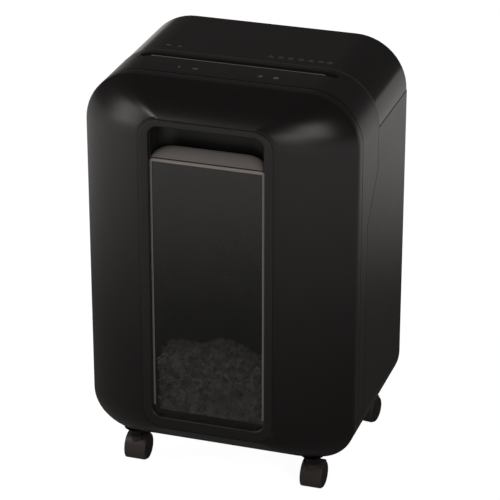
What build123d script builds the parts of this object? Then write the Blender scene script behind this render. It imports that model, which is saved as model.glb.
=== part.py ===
"""Floor-standing paper shredder with a pull-out bin, twin cutter rollers and four casters.

Frame: millimetres, +X to the user's right, -Y out of the front, +Z up.
The origin is on the floor, in the middle of the overall width and depth.
"""
from build123d import *
from math import atan2, cos, pi, radians, sin, sqrt
import os

# ---------------------------------------------------------------- overall sizes
width = 352.0
depth = 283.0
height = 545.0
body_bottom = 50.0
top_corner_radius = 68.0
bottom_corner_radius = 52.0
skin = 2.5
part_gap = 0.3
seam_gap = 0.5

# The cutting head hangs from the top, so every height near it is written as a drop from the top.

# ------------------------------------------------------------------ cabinet
rim_gap = 2.0
fascia_rim_rear = -69.0
leg_rear = -41.5
leg_joint_height = height - 240.0
shoulder_low = height - 185.0
shoulder_high = height - 125.0
band_rear = 2.0
bead_width = 3.5
cover_inset = 0.6
side_seam_height = height - 69.0

# ------------------------------------------------------------------ bin front
rim_length = 13.0
fascia_wall = 3.0
frame_half_width = 85.0
frame_low = 92.0
frame_high = height - 34.0
frame_radius = 25.0
frame_groove = 2.0
frame_flange = 2.0
frame_side_band = 11.0
frame_top_band = 9.0
frame_bottom_band = 14.0
frame_depth = 11.5
frame_neck_wall = 5.7
window_high = height - 86.5
window_thickness = 3.0
window_setback = 4.5
window_radius = 14.0
scoop_depth = 37.0
scoop_wall = 2.0
scoop_lift = 10.0
scoop_sill = 2.5

# ------------------------------------------------------------------ bin tub
tub_half_width = 150.0
tub_rear = 125.0
tub_low = 66.0
tub_high = height - 125.0
tub_wall = 2.5
tub_corner = 25.0
neck_half_width = 79.0
neck_low = 101.5
neck_high = height - 90.0
boss_radius = 5.0
boss_x = 128.0
boss_low = 110.0
boss_rows = 3
boss_drop = 30.0
screw_radius = 1.75
screw_head_radius = 3.6
screw_head_height = 2.0
screw_length = 14.0
runner_x = 100.0
runner_width = 10.0

# ------------------------------------------------------------------ paper slot
slot_half_length = 130.0
slot_front = -21.0
slot_rear = -5.0
throat_half_length = 115.0
throat_width = 8.0
liner_depth = 10.0
liner_wall = 1.6
guide_wall = 2.0
guide_rise = 4.0

# ------------------------------------------------------------------ cutters
nip_z = height - 73.0
disc_radius = 19.0
spacer_radius = 13.5
disc_pitch = 6.0
disc_thickness = 2.7
disc_count = 37
roller_shaft_radius = 6.0
running_clearance = 0.05
frame_plate = 2.0
frame_plate_x = 117.3
frame_plate_front = -58.0
frame_plate_rear = 106.0
frame_plate_high = height - 21.0
bush_radius = 8.5
bush_length = 5.0
tie_rod_radius = 3.0
comb_thickness = 2.0
comb_gap = 0.6

# ------------------------------------------------------------------ gear train
gear_width = 7.0
gear_step = 1.2
sync_module = 2.0
sync_teeth = 17
drive_module = 1.5
drive_teeth = 36
idler_pinion_teeth = 14
wheel_module = 1.0
wheel_teeth = 60
motor_pinion_teeth = 12
gear_addendum = 0.8
gear_dedendum = 1.1
gear_backlash = 0.16
idler_angle = 29.0
motor_angle = -22.0
idler_axle_radius = 4.0
motor_shaft_radius = 4.0
gear_cover_wall = 2.0
gear_cover_room = 2.0

# ------------------------------------------------------------------ motor
motor_radius = 28.0
motor_length = 108.0
motor_cap_length = 6.0
fan_radius = 22.0
fan_hub_radius = 8.0
fan_width = 9.0
fan_blades = 8

# ------------------------------------------------------------------ head tray
tray_low = height - 113.0
tray_thickness = 3.0
chute_drop = 7.0
chute_half_length = 118.0
chute_front = -52.0
chute_rear = 26.0

# ------------------------------------------------------------------ electrics
board_thickness = 1.6
board_x = -152.0
inlet_x = -112.0
inlet_z = height - 93.0
inlet_width = 27.0
inlet_height = 20.0
switch_x = -72.0
switch_width = 22.0
switch_height = 28.0
rocker_angle = 9.0
vent_count = 9
vent_pitch = 9.0
vent_x = 60.0
vent_z = height - 37.0
vent_height = 32.0
vent_width = 4.0

# ------------------------------------------------------------------ casters
front_caster_x = 120.0
front_caster_y = -79.0
rear_caster_x = 136.0
rear_caster_y = 112.0
rear_caster_turn = 8.0
caster_trail = 10.0
wheel_radius = 17.5
wheel_width = 10.5
wheel_gap = 3.6
web_thickness = 6.0
caster_axle_radius = 3.0
stem_radius = 4.0
cup_radius = 8.5
sleeve_radius = 6.0
cup_drop = 12.0
cup_rise = 14.0
hood_wall = 1.8
hood_clearance = 0.6

# ---------------------------------------------------------------- worked-out places
half_width = width / 2
front_face = -depth / 2
rear_face = depth / 2
crease_y = fascia_rim_rear - rim_length
tub_front = crease_y
band_front = fascia_rim_rear + rim_gap
frame_seat = front_face + frame_flange
frame_rear = front_face + frame_depth
opening_half_width = frame_half_width - frame_side_band
opening_low = frame_low + frame_bottom_band
opening_high = frame_high - frame_top_band
window_front = front_face + window_setback
slot_y = (slot_front + slot_rear) / 2
liner_low = height - liner_depth
guide_low = nip_z + disc_radius + guide_rise
roller_spacing = sync_module * sync_teeth
roller_rear_y = slot_y + roller_spacing / 2
roller_front_y = slot_y - roller_spacing / 2
idler_distance = drive_module * (drive_teeth + idler_pinion_teeth) / 2
idler_y = roller_rear_y + idler_distance * cos(radians(idler_angle))
idler_z = nip_z + idler_distance * sin(radians(idler_angle))
motor_distance = wheel_module * (wheel_teeth + motor_pinion_teeth) / 2
motor_y = idler_y + motor_distance * cos(radians(motor_angle))
motor_z = idler_z + motor_distance * sin(radians(motor_angle))
plate_outer = frame_plate_x + frame_plate
sync_gear_x = frame_plate_x + bush_length + gear_step
drive_gear_x = sync_gear_x + gear_width + gear_step
wheel_gear_x = drive_gear_x + gear_width + gear_step
tray_high = tray_low + tray_thickness
plate_low = tray_high + part_gap
roller_half_length = disc_pitch * disc_count / 2 + disc_thickness / 2
axle_z = wheel_radius
cup_low = body_bottom - cup_drop
tie_rod_places = [(-50.0, nip_z + 40.0), (-50.0, nip_z - 24.0), (30.0, nip_z + 44.0), (98.0, nip_z - 26.0)]
boss_step = (tub_high - boss_drop - boss_low) / (boss_rows - 1)
boss_places = [(x, boss_low + row * boss_step) for x in (-boss_x, boss_x) for row in range(boss_rows)]
caster_places = {
    "front_left": (-front_caster_x, front_caster_y, 0.0),
    "front_right": (front_caster_x, front_caster_y, 0.0),
    "rear_left": (-rear_caster_x, rear_caster_y, rear_caster_turn),
    "rear_right": (rear_caster_x, rear_caster_y, -rear_caster_turn),
}


def finish(piece, label):
    """Name a finished piece and write it to its own file."""
    piece.label = label
    export_step(piece, f"parts/{label}.step")


def plane_at(y):
    """Upright plane across the body at depth y; sketches on it read X and Z."""
    return Plane.XZ.offset(-y)


def side_plane(x):
    """Upright plane along the body at x; sketches on it read Y and Z."""
    return Plane.YZ.offset(x)


def rounded_outline(half, low, high, low_radius, high_radius):
    """Upright rectangle with its own corner radius at the bottom and at the top."""
    with BuildSketch() as outline:
        with Locations((0, (low + high) / 2)):
            Rectangle(2 * half, high - low)
        corners = outline.vertices().group_by(Axis.Y)
        fillet(corners[0], low_radius)
        fillet(outline.vertices().group_by(Axis.Y)[-1], high_radius)
    return outline.sketch


def body_outline(inset=0.0):
    """Cross-section of the whole machine, shrunk evenly by inset."""
    return rounded_outline(
        half_width - inset,
        body_bottom + inset,
        height - inset,
        bottom_corner_radius - inset,
        top_corner_radius - inset,
    )


def body_slab(inset, y_from, y_to):
    """Solid with the machine's cross-section between two depths."""
    with BuildPart() as slab:
        with BuildSketch(plane_at(y_from)):
            add(body_outline(inset))
        extrude(amount=-(y_to - y_from))
    return slab.part


def side_block(points):
    """Solid across the full width whose side view is the given Y, Z outline."""
    with BuildPart() as block:
        with BuildSketch(Plane.YZ):
            with BuildLine():
                Polyline(*points, close=True)
            make_face()
        extrude(amount=width, both=True)
    return block.part


def box_between(x_pair, y_pair, z_pair):
    """Plain block between two limits in each direction."""
    size = [pair[1] - pair[0] for pair in (x_pair, y_pair, z_pair)]
    centre = [(pair[1] + pair[0]) / 2 for pair in (x_pair, y_pair, z_pair)]
    with BuildPart() as block:
        with Locations(tuple(centre)):
            Box(*size)
    return block.part


def rod_along_x(radius, x_from, x_to, y, z):
    """Round bar along X."""
    with BuildPart() as rod:
        with BuildSketch(side_plane(x_from)):
            with Locations((y, z)):
                Circle(radius)
        extrude(amount=x_to - x_from)
    return rod.part


def rod_along_y(radius, y_from, y_to, x, z):
    """Round bar along Y."""
    with BuildPart() as rod:
        with BuildSketch(plane_at(y_from)):
            with Locations((x, z)):
                Circle(radius)
        extrude(amount=-(y_to - y_from))
    return rod.part


os.makedirs("parts", exist_ok=True)

# ================================================================ cabinet
band_side = [
    (band_front - 1, leg_joint_height),
    (leg_rear, leg_joint_height),
    (leg_rear, shoulder_low),
    (band_rear, shoulder_high),
    (band_rear, height + 1),
    (band_front - 1, height + 1),
]
cabinet_side = [
    (leg_rear + seam_gap, body_bottom - 1),
    (leg_rear + seam_gap, shoulder_low),
    (band_rear + seam_gap, shoulder_high),
    (band_rear + seam_gap, side_seam_height - seam_gap),
    (rear_face + 1, side_seam_height - seam_gap),
    (rear_face + 1, body_bottom - 1),
]
cup_high = body_bottom + cup_rise
front_spots = [(x, y) for x, y, turn in caster_places.values() if y < 0]
rear_spots = [(x, y) for x, y, turn in caster_places.values() if y > 0]


def upright(radius, low, high, spots):
    """Round upright bars between two heights."""
    with BuildPart() as bars:
        with Locations(*[(x, y, low) for x, y in spots]):
            Cylinder(radius, high - low, align=(Align.CENTER, Align.CENTER, Align.MIN))
    return bars.part


with BuildPart() as cabinet_shell:
    add(body_slab(0, leg_rear, rear_face))
    back_rim = cabinet_shell.faces().sort_by(Axis.Y)[-1].edges()
    fillet(back_rim, 5.0)
    add(body_slab(skin, leg_rear - 1, rear_face - skin), mode=Mode.SUBTRACT)
    add(side_block(cabinet_side), mode=Mode.INTERSECT)
    add(upright(cup_radius, cup_low, cup_high, rear_spots))
    add(upright(sleeve_radius, cup_low - 1, cup_high - skin, rear_spots), mode=Mode.SUBTRACT)
    with Locations((inlet_x, rear_face, inlet_z)):
        Box(inlet_width + part_gap, 4 * skin, inlet_height + part_gap, mode=Mode.SUBTRACT)
    with Locations((switch_x, rear_face, inlet_z)):
        Box(switch_width + part_gap, 4 * skin, switch_height + part_gap, mode=Mode.SUBTRACT)
finish(cabinet_shell.part, "cabinet_shell")

with BuildPart() as front_frame:
    add(body_slab(0, band_front, leg_rear))
    add(body_slab(skin, band_front - 1, leg_rear + 1), mode=Mode.SUBTRACT)
    upper_part = box_between((-width, width), (-depth, depth), (leg_joint_height - seam_gap, height + 1))
    add(upper_part, mode=Mode.SUBTRACT)
finish(front_frame.part, "front_frame")

with BuildPart() as head_bezel:
    add(body_slab(0, band_front, band_rear))
    add(body_slab(skin, band_front + skin, band_rear + 1), mode=Mode.SUBTRACT)
    add(side_block(band_side), mode=Mode.INTERSECT)
    bin_doorway = box_between(
        (skin - half_width, half_width - skin),
        (band_front - 1, band_front + skin + 1),
        (body_bottom, tray_low - part_gap),
    )
    add(bin_doorway, mode=Mode.SUBTRACT)
    with BuildSketch(Plane.XY.offset(liner_low - 1)):
        with Locations((0, slot_y)):
            SlotOverall(2 * slot_half_length, slot_rear - slot_front)
    extrude(amount=liner_depth + 2, mode=Mode.SUBTRACT)
finish(head_bezel.part, "head_bezel")

with BuildPart() as cover_bead:
    add(body_slab(0, band_rear + part_gap, band_rear + bead_width))
    add(body_slab(skin, band_rear, band_rear + bead_width + 1), mode=Mode.SUBTRACT)
    lower_part = box_between((-width, width), (-depth, depth), (0, side_seam_height))
    add(lower_part, mode=Mode.SUBTRACT)
finish(cover_bead.part, "cover_bead")

cover_front = band_rear + bead_width + part_gap
with BuildPart() as rear_cover:
    add(body_slab(cover_inset, cover_front, rear_face))
    cover_rim = rear_cover.faces().sort_by(Axis.Y)[-1].edges()
    fillet(cover_rim, 5.0)
    add(body_slab(cover_inset + skin, cover_front - 1, rear_face - skin), mode=Mode.SUBTRACT)
    lower_part = box_between((-width, width), (-depth, depth), (0, side_seam_height))
    add(lower_part, mode=Mode.SUBTRACT)
    with BuildSketch(plane_at(rear_face - 2 * skin)):
        with Locations((vent_x, vent_z)):
            with GridLocations(vent_pitch, 1, vent_count, 1):
                SlotOverall(vent_height, vent_width, rotation=90)
    extrude(amount=-3 * skin, mode=Mode.SUBTRACT)
finish(rear_cover.part, "rear_cover")


def sleeves(spots):
    """Caster stem sleeves pressed into their bosses."""
    with BuildPart() as sleeve_set:
        add(upright(sleeve_radius, cup_low, cup_high - skin, spots))
        bore = stem_radius + running_clearance
        add(upright(bore, cup_low, cup_high - 2 * skin, spots), mode=Mode.SUBTRACT)
    return sleeve_set.part


finish(sleeves(rear_spots), "caster_sleeves_rear")
finish(sleeves(front_spots), "caster_sleeves_front")

runner_low = body_bottom + skin
runner_high = tub_low - part_gap
with BuildPart() as bin_runners:
    for runner_middle in (-runner_x, runner_x):
        runner_limits = (runner_middle - runner_width / 2, runner_middle + runner_width / 2)
        add(box_between(runner_limits, (band_front, tub_rear), (runner_low, runner_high)))
finish(bin_runners.part, "bin_runners")

# ================================================================ cutting head
tray_half_width = half_width - skin - part_gap
tray_front = band_front + skin + part_gap
screw_spots = [(x, y) for x in (-plate_outer - 5.0, plate_outer + 5.0) for y in (-40.0, 30.0, 95.0)]
with BuildPart() as head_tray:
    add(
        box_between(
            (-tray_half_width, tray_half_width),
            (tray_front, rear_face - skin - part_gap),
            (tray_low, tray_high),
        )
    )
    add(
        box_between(
            (-chute_half_length - guide_wall, chute_half_length + guide_wall),
            (chute_front - guide_wall, chute_rear + guide_wall),
            (tray_low - chute_drop, tray_low),
        )
    )
    add(
        box_between(
            (-chute_half_length, chute_half_length),
            (chute_front, chute_rear),
            (tray_low - chute_drop - 1, tray_high + 1),
        ),
        mode=Mode.SUBTRACT,
    )
    with Locations(*[(x, y, tray_low) for x, y in screw_spots]):
        Cylinder(screw_radius, 4 * tray_thickness, mode=Mode.SUBTRACT)
finish(head_tray.part, "head_tray")

foot_width = 10.0
for side, side_sign in (("left", -1), ("right", 1)):
    with BuildPart() as side_frame:
        inner = side_sign * frame_plate_x
        outer = side_sign * plate_outer
        foot = side_sign * (plate_outer + foot_width)
        plate_limits = (min(inner, outer), max(inner, outer))
        foot_limits = (min(outer, foot), max(outer, foot))
        add(box_between(plate_limits, (frame_plate_front, frame_plate_rear), (plate_low, frame_plate_high)))
        add(box_between(foot_limits, (frame_plate_front, frame_plate_rear), (plate_low, plate_low + frame_plate)))
        for roller_y in (roller_front_y, roller_rear_y):
            add(rod_along_x(bush_radius, *plate_limits, roller_y, nip_z), mode=Mode.SUBTRACT)
        for rod_y, rod_z in tie_rod_places:
            add(rod_along_x(tie_rod_radius, *plate_limits, rod_y, rod_z), mode=Mode.SUBTRACT)
        if side == "right":
            add(rod_along_x(idler_axle_radius, *plate_limits, idler_y, idler_z), mode=Mode.SUBTRACT)
            add(rod_along_x(2 * motor_shaft_radius, *plate_limits, motor_y, motor_z), mode=Mode.SUBTRACT)
        with Locations(*[(x, y, plate_low) for x, y in screw_spots if x * side_sign > 0]):
            Cylinder(screw_radius, 4 * frame_plate, mode=Mode.SUBTRACT)
    finish(side_frame.part, f"side_frame_{side}")

with BuildPart() as frame_screws:
    for x, y in screw_spots:
        with Locations((x, y, plate_low + frame_plate)):
            Cylinder(screw_head_radius, screw_head_height, align=(Align.CENTER, Align.CENTER, Align.MIN))
            Cylinder(screw_radius, 8.0, align=(Align.CENTER, Align.CENTER, Align.MAX))
finish(frame_screws.part, "frame_screws")

with BuildPart() as tie_rods:
    for rod_y, rod_z in tie_rod_places:
        add(rod_along_x(tie_rod_radius, -plate_outer, plate_outer, rod_y, rod_z))
finish(tie_rods.part, "tie_rods")

with BuildPart() as shaft_bushes:
    for roller_y in (roller_front_y, roller_rear_y):
        for low_x in (-frame_plate_x - bush_length, frame_plate_x):
            add(rod_along_x(bush_radius, low_x, low_x + bush_length, roller_y, nip_z))
            bore = roller_shaft_radius + running_clearance
            add(rod_along_x(bore, low_x, low_x + bush_length, roller_y, nip_z), mode=Mode.SUBTRACT)
finish(shaft_bushes.part, "shaft_bushes")


def comb(root_y, tip_y, fingers):
    """Stripper comb: a bar outside the discs with a finger in every gap between them."""
    outward = 1 if root_y > tip_y else -1
    bar_limits = sorted((root_y, root_y + outward * 4.5))
    finger_limits = sorted((root_y, tip_y))
    with BuildPart() as comb_piece:
        add(
            box_between(
                (-frame_plate_x + part_gap, frame_plate_x - part_gap),
                bar_limits,
                (nip_z - 6.0, nip_z + 6.0),
            )
        )
        finger_y = sum(finger_limits) / 2
        with Locations((0, finger_y, nip_z)):
            with GridLocations(disc_pitch, 1, fingers, 1):
                Box(comb_thickness, finger_limits[1] - finger_limits[0], 8.0)
    return comb_piece.part


comb_reach = spacer_radius + comb_gap
comb_root = disc_radius + 2.5
finish(comb(roller_front_y - comb_root, roller_front_y - comb_reach, disc_count - 1), "stripper_comb_front")
finish(comb(roller_rear_y + comb_root, roller_rear_y + comb_reach, disc_count - 2), "stripper_comb_rear")

with BuildPart() as throat_guide:
    guide_high = liner_low - part_gap
    half_gap = throat_width / 2
    add(
        box_between(
            (-throat_half_length - guide_wall, throat_half_length + guide_wall),
            (slot_y - half_gap - guide_wall, slot_y + half_gap + guide_wall),
            (guide_low, guide_high),
        )
    )
    add(
        box_between(
            (-throat_half_length, throat_half_length),
            (slot_y - half_gap, slot_y + half_gap),
            (guide_low - 1, guide_high + 1),
        ),
        mode=Mode.SUBTRACT,
    )
finish(throat_guide.part, "throat_guide")

with BuildPart() as slot_liner:
    with BuildSketch(Plane.XY.offset(liner_low)):
        with Locations((0, slot_y)):
            SlotOverall(2 * (slot_half_length - part_gap), slot_rear - slot_front - 2 * part_gap)
    extrude(amount=liner_depth)
    with BuildSketch(Plane.XY.offset(liner_low + liner_wall)):
        with Locations((0, slot_y)):
            SlotOverall(
                2 * (slot_half_length - part_gap - liner_wall),
                slot_rear - slot_front - 2 * (part_gap + liner_wall),
            )
    extrude(amount=liner_depth, mode=Mode.SUBTRACT)
    with Locations((0, slot_y, liner_low)):
        Box(2 * throat_half_length, throat_width, 4 * liner_wall, mode=Mode.SUBTRACT)
    add(body_slab(0, slot_front - 1, slot_rear + 1), mode=Mode.INTERSECT)
finish(slot_liner.part, "slot_liner")

with BuildPart() as paper_sensor:
    sensor_front = slot_y - throat_width / 2 - guide_wall
    add(box_between((-9.0, 9.0), (sensor_front - 7.0, sensor_front), (guide_low + 12.0, guide_low + 26.0)))
finish(paper_sensor.part, "paper_sensor")

with BuildPart() as touch_board:
    board_high = height - skin - 2 * part_gap
    touch_limits = (band_front + skin + 4.0, slot_front - 6.0)
    add(box_between((-78.0, 78.0), touch_limits, (board_high - board_thickness, board_high)))
finish(touch_board.part, "touch_board")

# ================================================================ rollers and gears


def roller(y, discs, shaft_left, shaft_right):
    """Cutter roller turned in one piece: shaft ends, spacers and cutting discs."""
    half_disc = disc_thickness / 2
    points = [(shaft_left, 0), (shaft_left, roller_shaft_radius), (-roller_half_length, roller_shaft_radius)]
    points.append((-roller_half_length, spacer_radius))
    first = -disc_pitch * (discs - 1) / 2
    for index in range(discs):
        middle = first + index * disc_pitch
        points.append((middle - half_disc, spacer_radius))
        points.append((middle - half_disc, disc_radius))
        points.append((middle + half_disc, disc_radius))
        points.append((middle + half_disc, spacer_radius))
    points.append((roller_half_length, spacer_radius))
    points.append((roller_half_length, roller_shaft_radius))
    points.append((shaft_right, roller_shaft_radius))
    points.append((shaft_right, 0))
    with BuildPart() as roller_piece:
        with BuildSketch(Plane.XY.offset(nip_z)):
            with BuildLine():
                Polyline(*[(x, y + radius) for x, radius in points], close=True)
            make_face()
        revolve(axis=Axis((0, y, nip_z), (1, 0, 0)))
    return roller_piece.part


shaft_left_end = -(frame_plate_x + bush_length + 1.0)
front_shaft_end = drive_gear_x - gear_step / 2
rear_shaft_end = wheel_gear_x - gear_step / 2
roller_front = roller(roller_front_y, disc_count, shaft_left_end, front_shaft_end)
roller_rear = roller(roller_rear_y, disc_count - 1, shaft_left_end, rear_shaft_end)
finish(roller_front, "cutter_roller_front")
finish(roller_rear, "cutter_roller_rear")


def involute_angle(base, radius):
    """Angle swept by an involute between its base circle and a radius."""
    if radius <= base:
        return 0.0
    roll = sqrt((radius / base) ** 2 - 1)
    return roll - atan2(roll, 1)


def gear_points(module, teeth, phase):
    """Outline of a spur gear with one tooth centred on the phase angle, in degrees."""
    pitch = module * teeth / 2
    tip = pitch + gear_addendum * module
    root = pitch - gear_dedendum * module
    base = pitch * cos(radians(20))
    half_tooth = pi / (2 * teeth) - gear_backlash * module / (2 * pitch)
    at_pitch = involute_angle(base, pitch)
    flank_radii = [root, max(base, root + 0.1), (max(base, root + 0.1) + pitch) / 2, pitch, (pitch + tip) / 2, tip]
    points = []
    for tooth in range(teeth):
        centre = radians(phase) + 2 * pi * tooth / teeth
        offsets = [half_tooth + at_pitch - involute_angle(base, radius) for radius in flank_radii]
        rising = [(radius, centre - offset) for radius, offset in zip(flank_radii, offsets)]
        falling = [(radius, centre + offset) for radius, offset in zip(flank_radii, offsets)]
        for radius, angle in rising + falling[::-1]:
            points.append((radius * cos(angle), radius * sin(angle)))
    return points


def gear_on(x, y, z, module, teeth, phase, bore):
    """Spur gear on an axis along X, from x to x plus the gear width."""
    with BuildPart() as gear:
        with BuildSketch(Plane(origin=(x, y, z), x_dir=(0, 1, 0), z_dir=(1, 0, 0))):
            with BuildLine():
                Polyline(*gear_points(module, teeth, phase), close=True)
            make_face()
            Circle(bore, mode=Mode.SUBTRACT)
        extrude(amount=gear_width)
    return gear.part


sync_rear_phase = 180.0
sync_front_phase = 180.0 / sync_teeth
idler_pinion_phase = idler_angle + 180.0 + 180.0 / idler_pinion_teeth
motor_pinion_phase = motor_angle + 180.0 + 180.0 / motor_pinion_teeth
sync_rear = gear_on(
    sync_gear_x, roller_rear_y, nip_z, sync_module, sync_teeth, sync_rear_phase, roller_shaft_radius
)
sync_front = gear_on(
    sync_gear_x, roller_front_y, nip_z, sync_module, sync_teeth, sync_front_phase, roller_shaft_radius
)
drive_gear = gear_on(
    drive_gear_x, roller_rear_y, nip_z, drive_module, drive_teeth, idler_angle, roller_shaft_radius
)
finish(sync_rear, "sync_gear_rear")
finish(sync_front, "sync_gear_front")
finish(drive_gear, "roller_drive_gear")

idler_bore = idler_axle_radius + running_clearance
with BuildPart() as compound_gear:
    add(gear_on(drive_gear_x, idler_y, idler_z, drive_module, idler_pinion_teeth, idler_pinion_phase, idler_bore))
    add(gear_on(wheel_gear_x, idler_y, idler_z, wheel_module, wheel_teeth, motor_angle, idler_bore))
    add(rod_along_x(2 * idler_axle_radius, drive_gear_x + gear_width, wheel_gear_x, idler_y, idler_z))
    add(rod_along_x(idler_bore, drive_gear_x, wheel_gear_x + gear_width, idler_y, idler_z), mode=Mode.SUBTRACT)
finish(compound_gear.part, "compound_gear")

cover_inner_x = wheel_gear_x + gear_width + gear_cover_room
idler_axle = rod_along_x(idler_axle_radius, frame_plate_x, cover_inner_x - part_gap, idler_y, idler_z)
finish(idler_axle, "idler_axle")

motor_pinion = gear_on(
    wheel_gear_x, motor_y, motor_z, wheel_module, motor_pinion_teeth, motor_pinion_phase, motor_shaft_radius
)
finish(motor_pinion, "motor_pinion")

drive_reach = drive_module * (drive_teeth / 2 + gear_addendum)
wheel_reach = wheel_module * (wheel_teeth / 2 + gear_addendum)
room_front = roller_rear_y - drive_reach - gear_cover_room
room_front = min(room_front, roller_front_y - sync_module * (sync_teeth / 2 + gear_addendum) - 1)
room_rear = motor_y + 12.0
room_low = nip_z - drive_reach - 1
room_high = idler_z + wheel_reach + 1
with BuildPart() as gear_cover:
    add(
        box_between(
            (plate_outer + part_gap, cover_inner_x + gear_cover_wall),
            (room_front - gear_cover_wall, room_rear + gear_cover_wall),
            (room_low - gear_cover_wall, room_high + gear_cover_wall),
        )
    )
    fillet(gear_cover.edges().filter_by(Axis.X), 6.0)
    add(
        box_between((plate_outer, cover_inner_x), (room_front, room_rear), (room_low, room_high)),
        mode=Mode.SUBTRACT,
    )
finish(gear_cover.part, "gear_cover")

# ================================================================ motor
motor_high_x = frame_plate_x - motor_cap_length
motor_low_x = motor_high_x - motor_length
shaft_bore = motor_shaft_radius + running_clearance
with BuildPart() as motor_body:
    add(rod_along_x(motor_radius, motor_low_x, motor_high_x, motor_y, motor_z))
    add(rod_along_x(shaft_bore, motor_low_x, motor_high_x, motor_y, motor_z), mode=Mode.SUBTRACT)
finish(motor_body.part, "motor_body")

with BuildPart() as motor_bracket:
    add(rod_along_x(motor_radius + 3, motor_high_x, frame_plate_x, motor_y, motor_z))
    add(rod_along_x(motor_radius - 6, motor_high_x, frame_plate_x, motor_y, motor_z), mode=Mode.SUBTRACT)
finish(motor_bracket.part, "motor_bracket")

fan_x = motor_low_x - fan_width - 2
motor_shaft = rod_along_x(motor_shaft_radius, fan_x - 2, wheel_gear_x + gear_width + 1, motor_y, motor_z)
finish(motor_shaft, "motor_shaft")

with BuildPart() as cooling_fan:
    add(rod_along_x(fan_hub_radius, fan_x, fan_x + fan_width, motor_y, motor_z))
    blade_length = fan_radius - fan_hub_radius + 1
    with BuildSketch(side_plane(fan_x)):
        with Locations((motor_y, motor_z)):
            with PolarLocations(fan_hub_radius - 1, fan_blades):
                Rectangle(blade_length, 1.6, align=(Align.MIN, Align.CENTER))
    extrude(amount=fan_width)
    add(rod_along_x(motor_shaft_radius, fan_x, fan_x + fan_width, motor_y, motor_z), mode=Mode.SUBTRACT)
finish(cooling_fan.part, "cooling_fan")

# ================================================================ electrics
with BuildPart() as circuit_board:
    add(box_between((board_x, board_x + board_thickness), (-30.0, 95.0), (plate_low, plate_low + 84.0)))
finish(circuit_board.part, "circuit_board")

with BuildPart() as board_parts:
    transformer_limits = (board_x - 16.0, board_x)
    add(box_between(transformer_limits, (50.0, 82.0), (plate_low + 12.0, plate_low + 42.0)))
    add(box_between((board_x - 12.0, board_x), (10.0, 30.0), (plate_low + 14.0, plate_low + 40.0)))
    add(box_between((board_x - 9.0, board_x), (-22.0, 0.0), (plate_low + 60.0, plate_low + 74.0)))
    for part_y in (14.0, 32.0, 50.0, 68.0):
        add(rod_along_x(5.5, board_x - 14.0, board_x, part_y, plate_low + 62.0))
finish(board_parts.part, "board_parts")

inlet_depth = 22.0
pin_depth = 12.0
with BuildPart() as power_inlet:
    add(
        box_between(
            (inlet_x - inlet_width / 2, inlet_x + inlet_width / 2),
            (rear_face - inlet_depth, rear_face),
            (inlet_z - inlet_height / 2, inlet_z + inlet_height / 2),
        )
    )
    with BuildSketch(plane_at(rear_face + 1)):
        with Locations((inlet_x, inlet_z)):
            Rectangle(inlet_width - 4.0, inlet_height - 5.0)
    extrude(amount=pin_depth + 5, mode=Mode.SUBTRACT)
    with BuildSketch(plane_at(rear_face - 3)):
        with Locations((inlet_x, inlet_z + 2), (inlet_x - 7, inlet_z - 2), (inlet_x + 7, inlet_z - 2)):
            Rectangle(2.0, 4.0)
    extrude(amount=pin_depth + 3)
finish(power_inlet.part, "power_inlet")

switch_depth = 20.0
cavity_depth = 13.0
rocker_y = rear_face - 7.5
rocker_half = 9.5
cavity_half_width = switch_width / 2 - 2
cavity_half_height = switch_height / 2 - 2
pin_radius = 1.5
with BuildPart() as switch_housing:
    add(
        box_between(
            (switch_x - switch_width / 2, switch_x + switch_width / 2),
            (rear_face - switch_depth, rear_face),
            (inlet_z - switch_height / 2, inlet_z + switch_height / 2),
        )
    )
    add(
        box_between(
            (switch_x - cavity_half_width, switch_x + cavity_half_width),
            (rear_face - cavity_depth, rear_face + 1),
            (inlet_z - cavity_half_height, inlet_z + cavity_half_height),
        ),
        mode=Mode.SUBTRACT,
    )
    pin_bore = rod_along_x(
        pin_radius + running_clearance,
        switch_x - cavity_half_width - 1.5,
        switch_x + cavity_half_width + 1.5,
        rocker_y,
        inlet_z,
    )
    add(pin_bore, mode=Mode.SUBTRACT)
finish(switch_housing.part, "switch_housing")

with BuildPart() as power_rocker:
    rocker_place = Location((switch_x - cavity_half_width + part_gap, rocker_y, inlet_z), (rocker_angle, 0, 0))
    with BuildSketch(Plane(rocker_place) * Plane.YZ):
        with BuildLine():
            Polyline(
                (-2.5, -2.0),
                (1.0, -rocker_half),
                (5.0, -rocker_half),
                (3.6, 0.0),
                (5.0, rocker_half),
                (1.0, rocker_half),
                (-2.5, 2.0),
                close=True,
            )
        make_face()
    extrude(amount=2 * (cavity_half_width - part_gap))
    add(
        rod_along_x(
            pin_radius,
            switch_x - cavity_half_width - 1.2,
            switch_x + cavity_half_width + 1.2,
            rocker_y,
            inlet_z,
        )
    )
finish(power_rocker.part, "power_rocker")

with BuildPart() as bin_sensor:
    sensor_limits = (tray_low - part_gap - 6.0, tray_low - part_gap)
    add(box_between((134.0, 150.0), (tray_front + 1.0, tray_front + 12.0), sensor_limits))
finish(bin_sensor.part, "bin_sensor")

# ================================================================ bin


def swell(start, end, turn):
    """Value between start and end that leaves the start quickly and arrives flat."""
    share = 0.6 * turn + 0.4 * sin(turn * pi / 2)
    return start + (end - start) * share


def draw_in(start, end, turn):
    """Value between start and end that leaves the start slowly."""
    share = 0.6 * turn + 0.4 * (1 - cos(turn * pi / 2))
    return start + (end - start) * share


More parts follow.
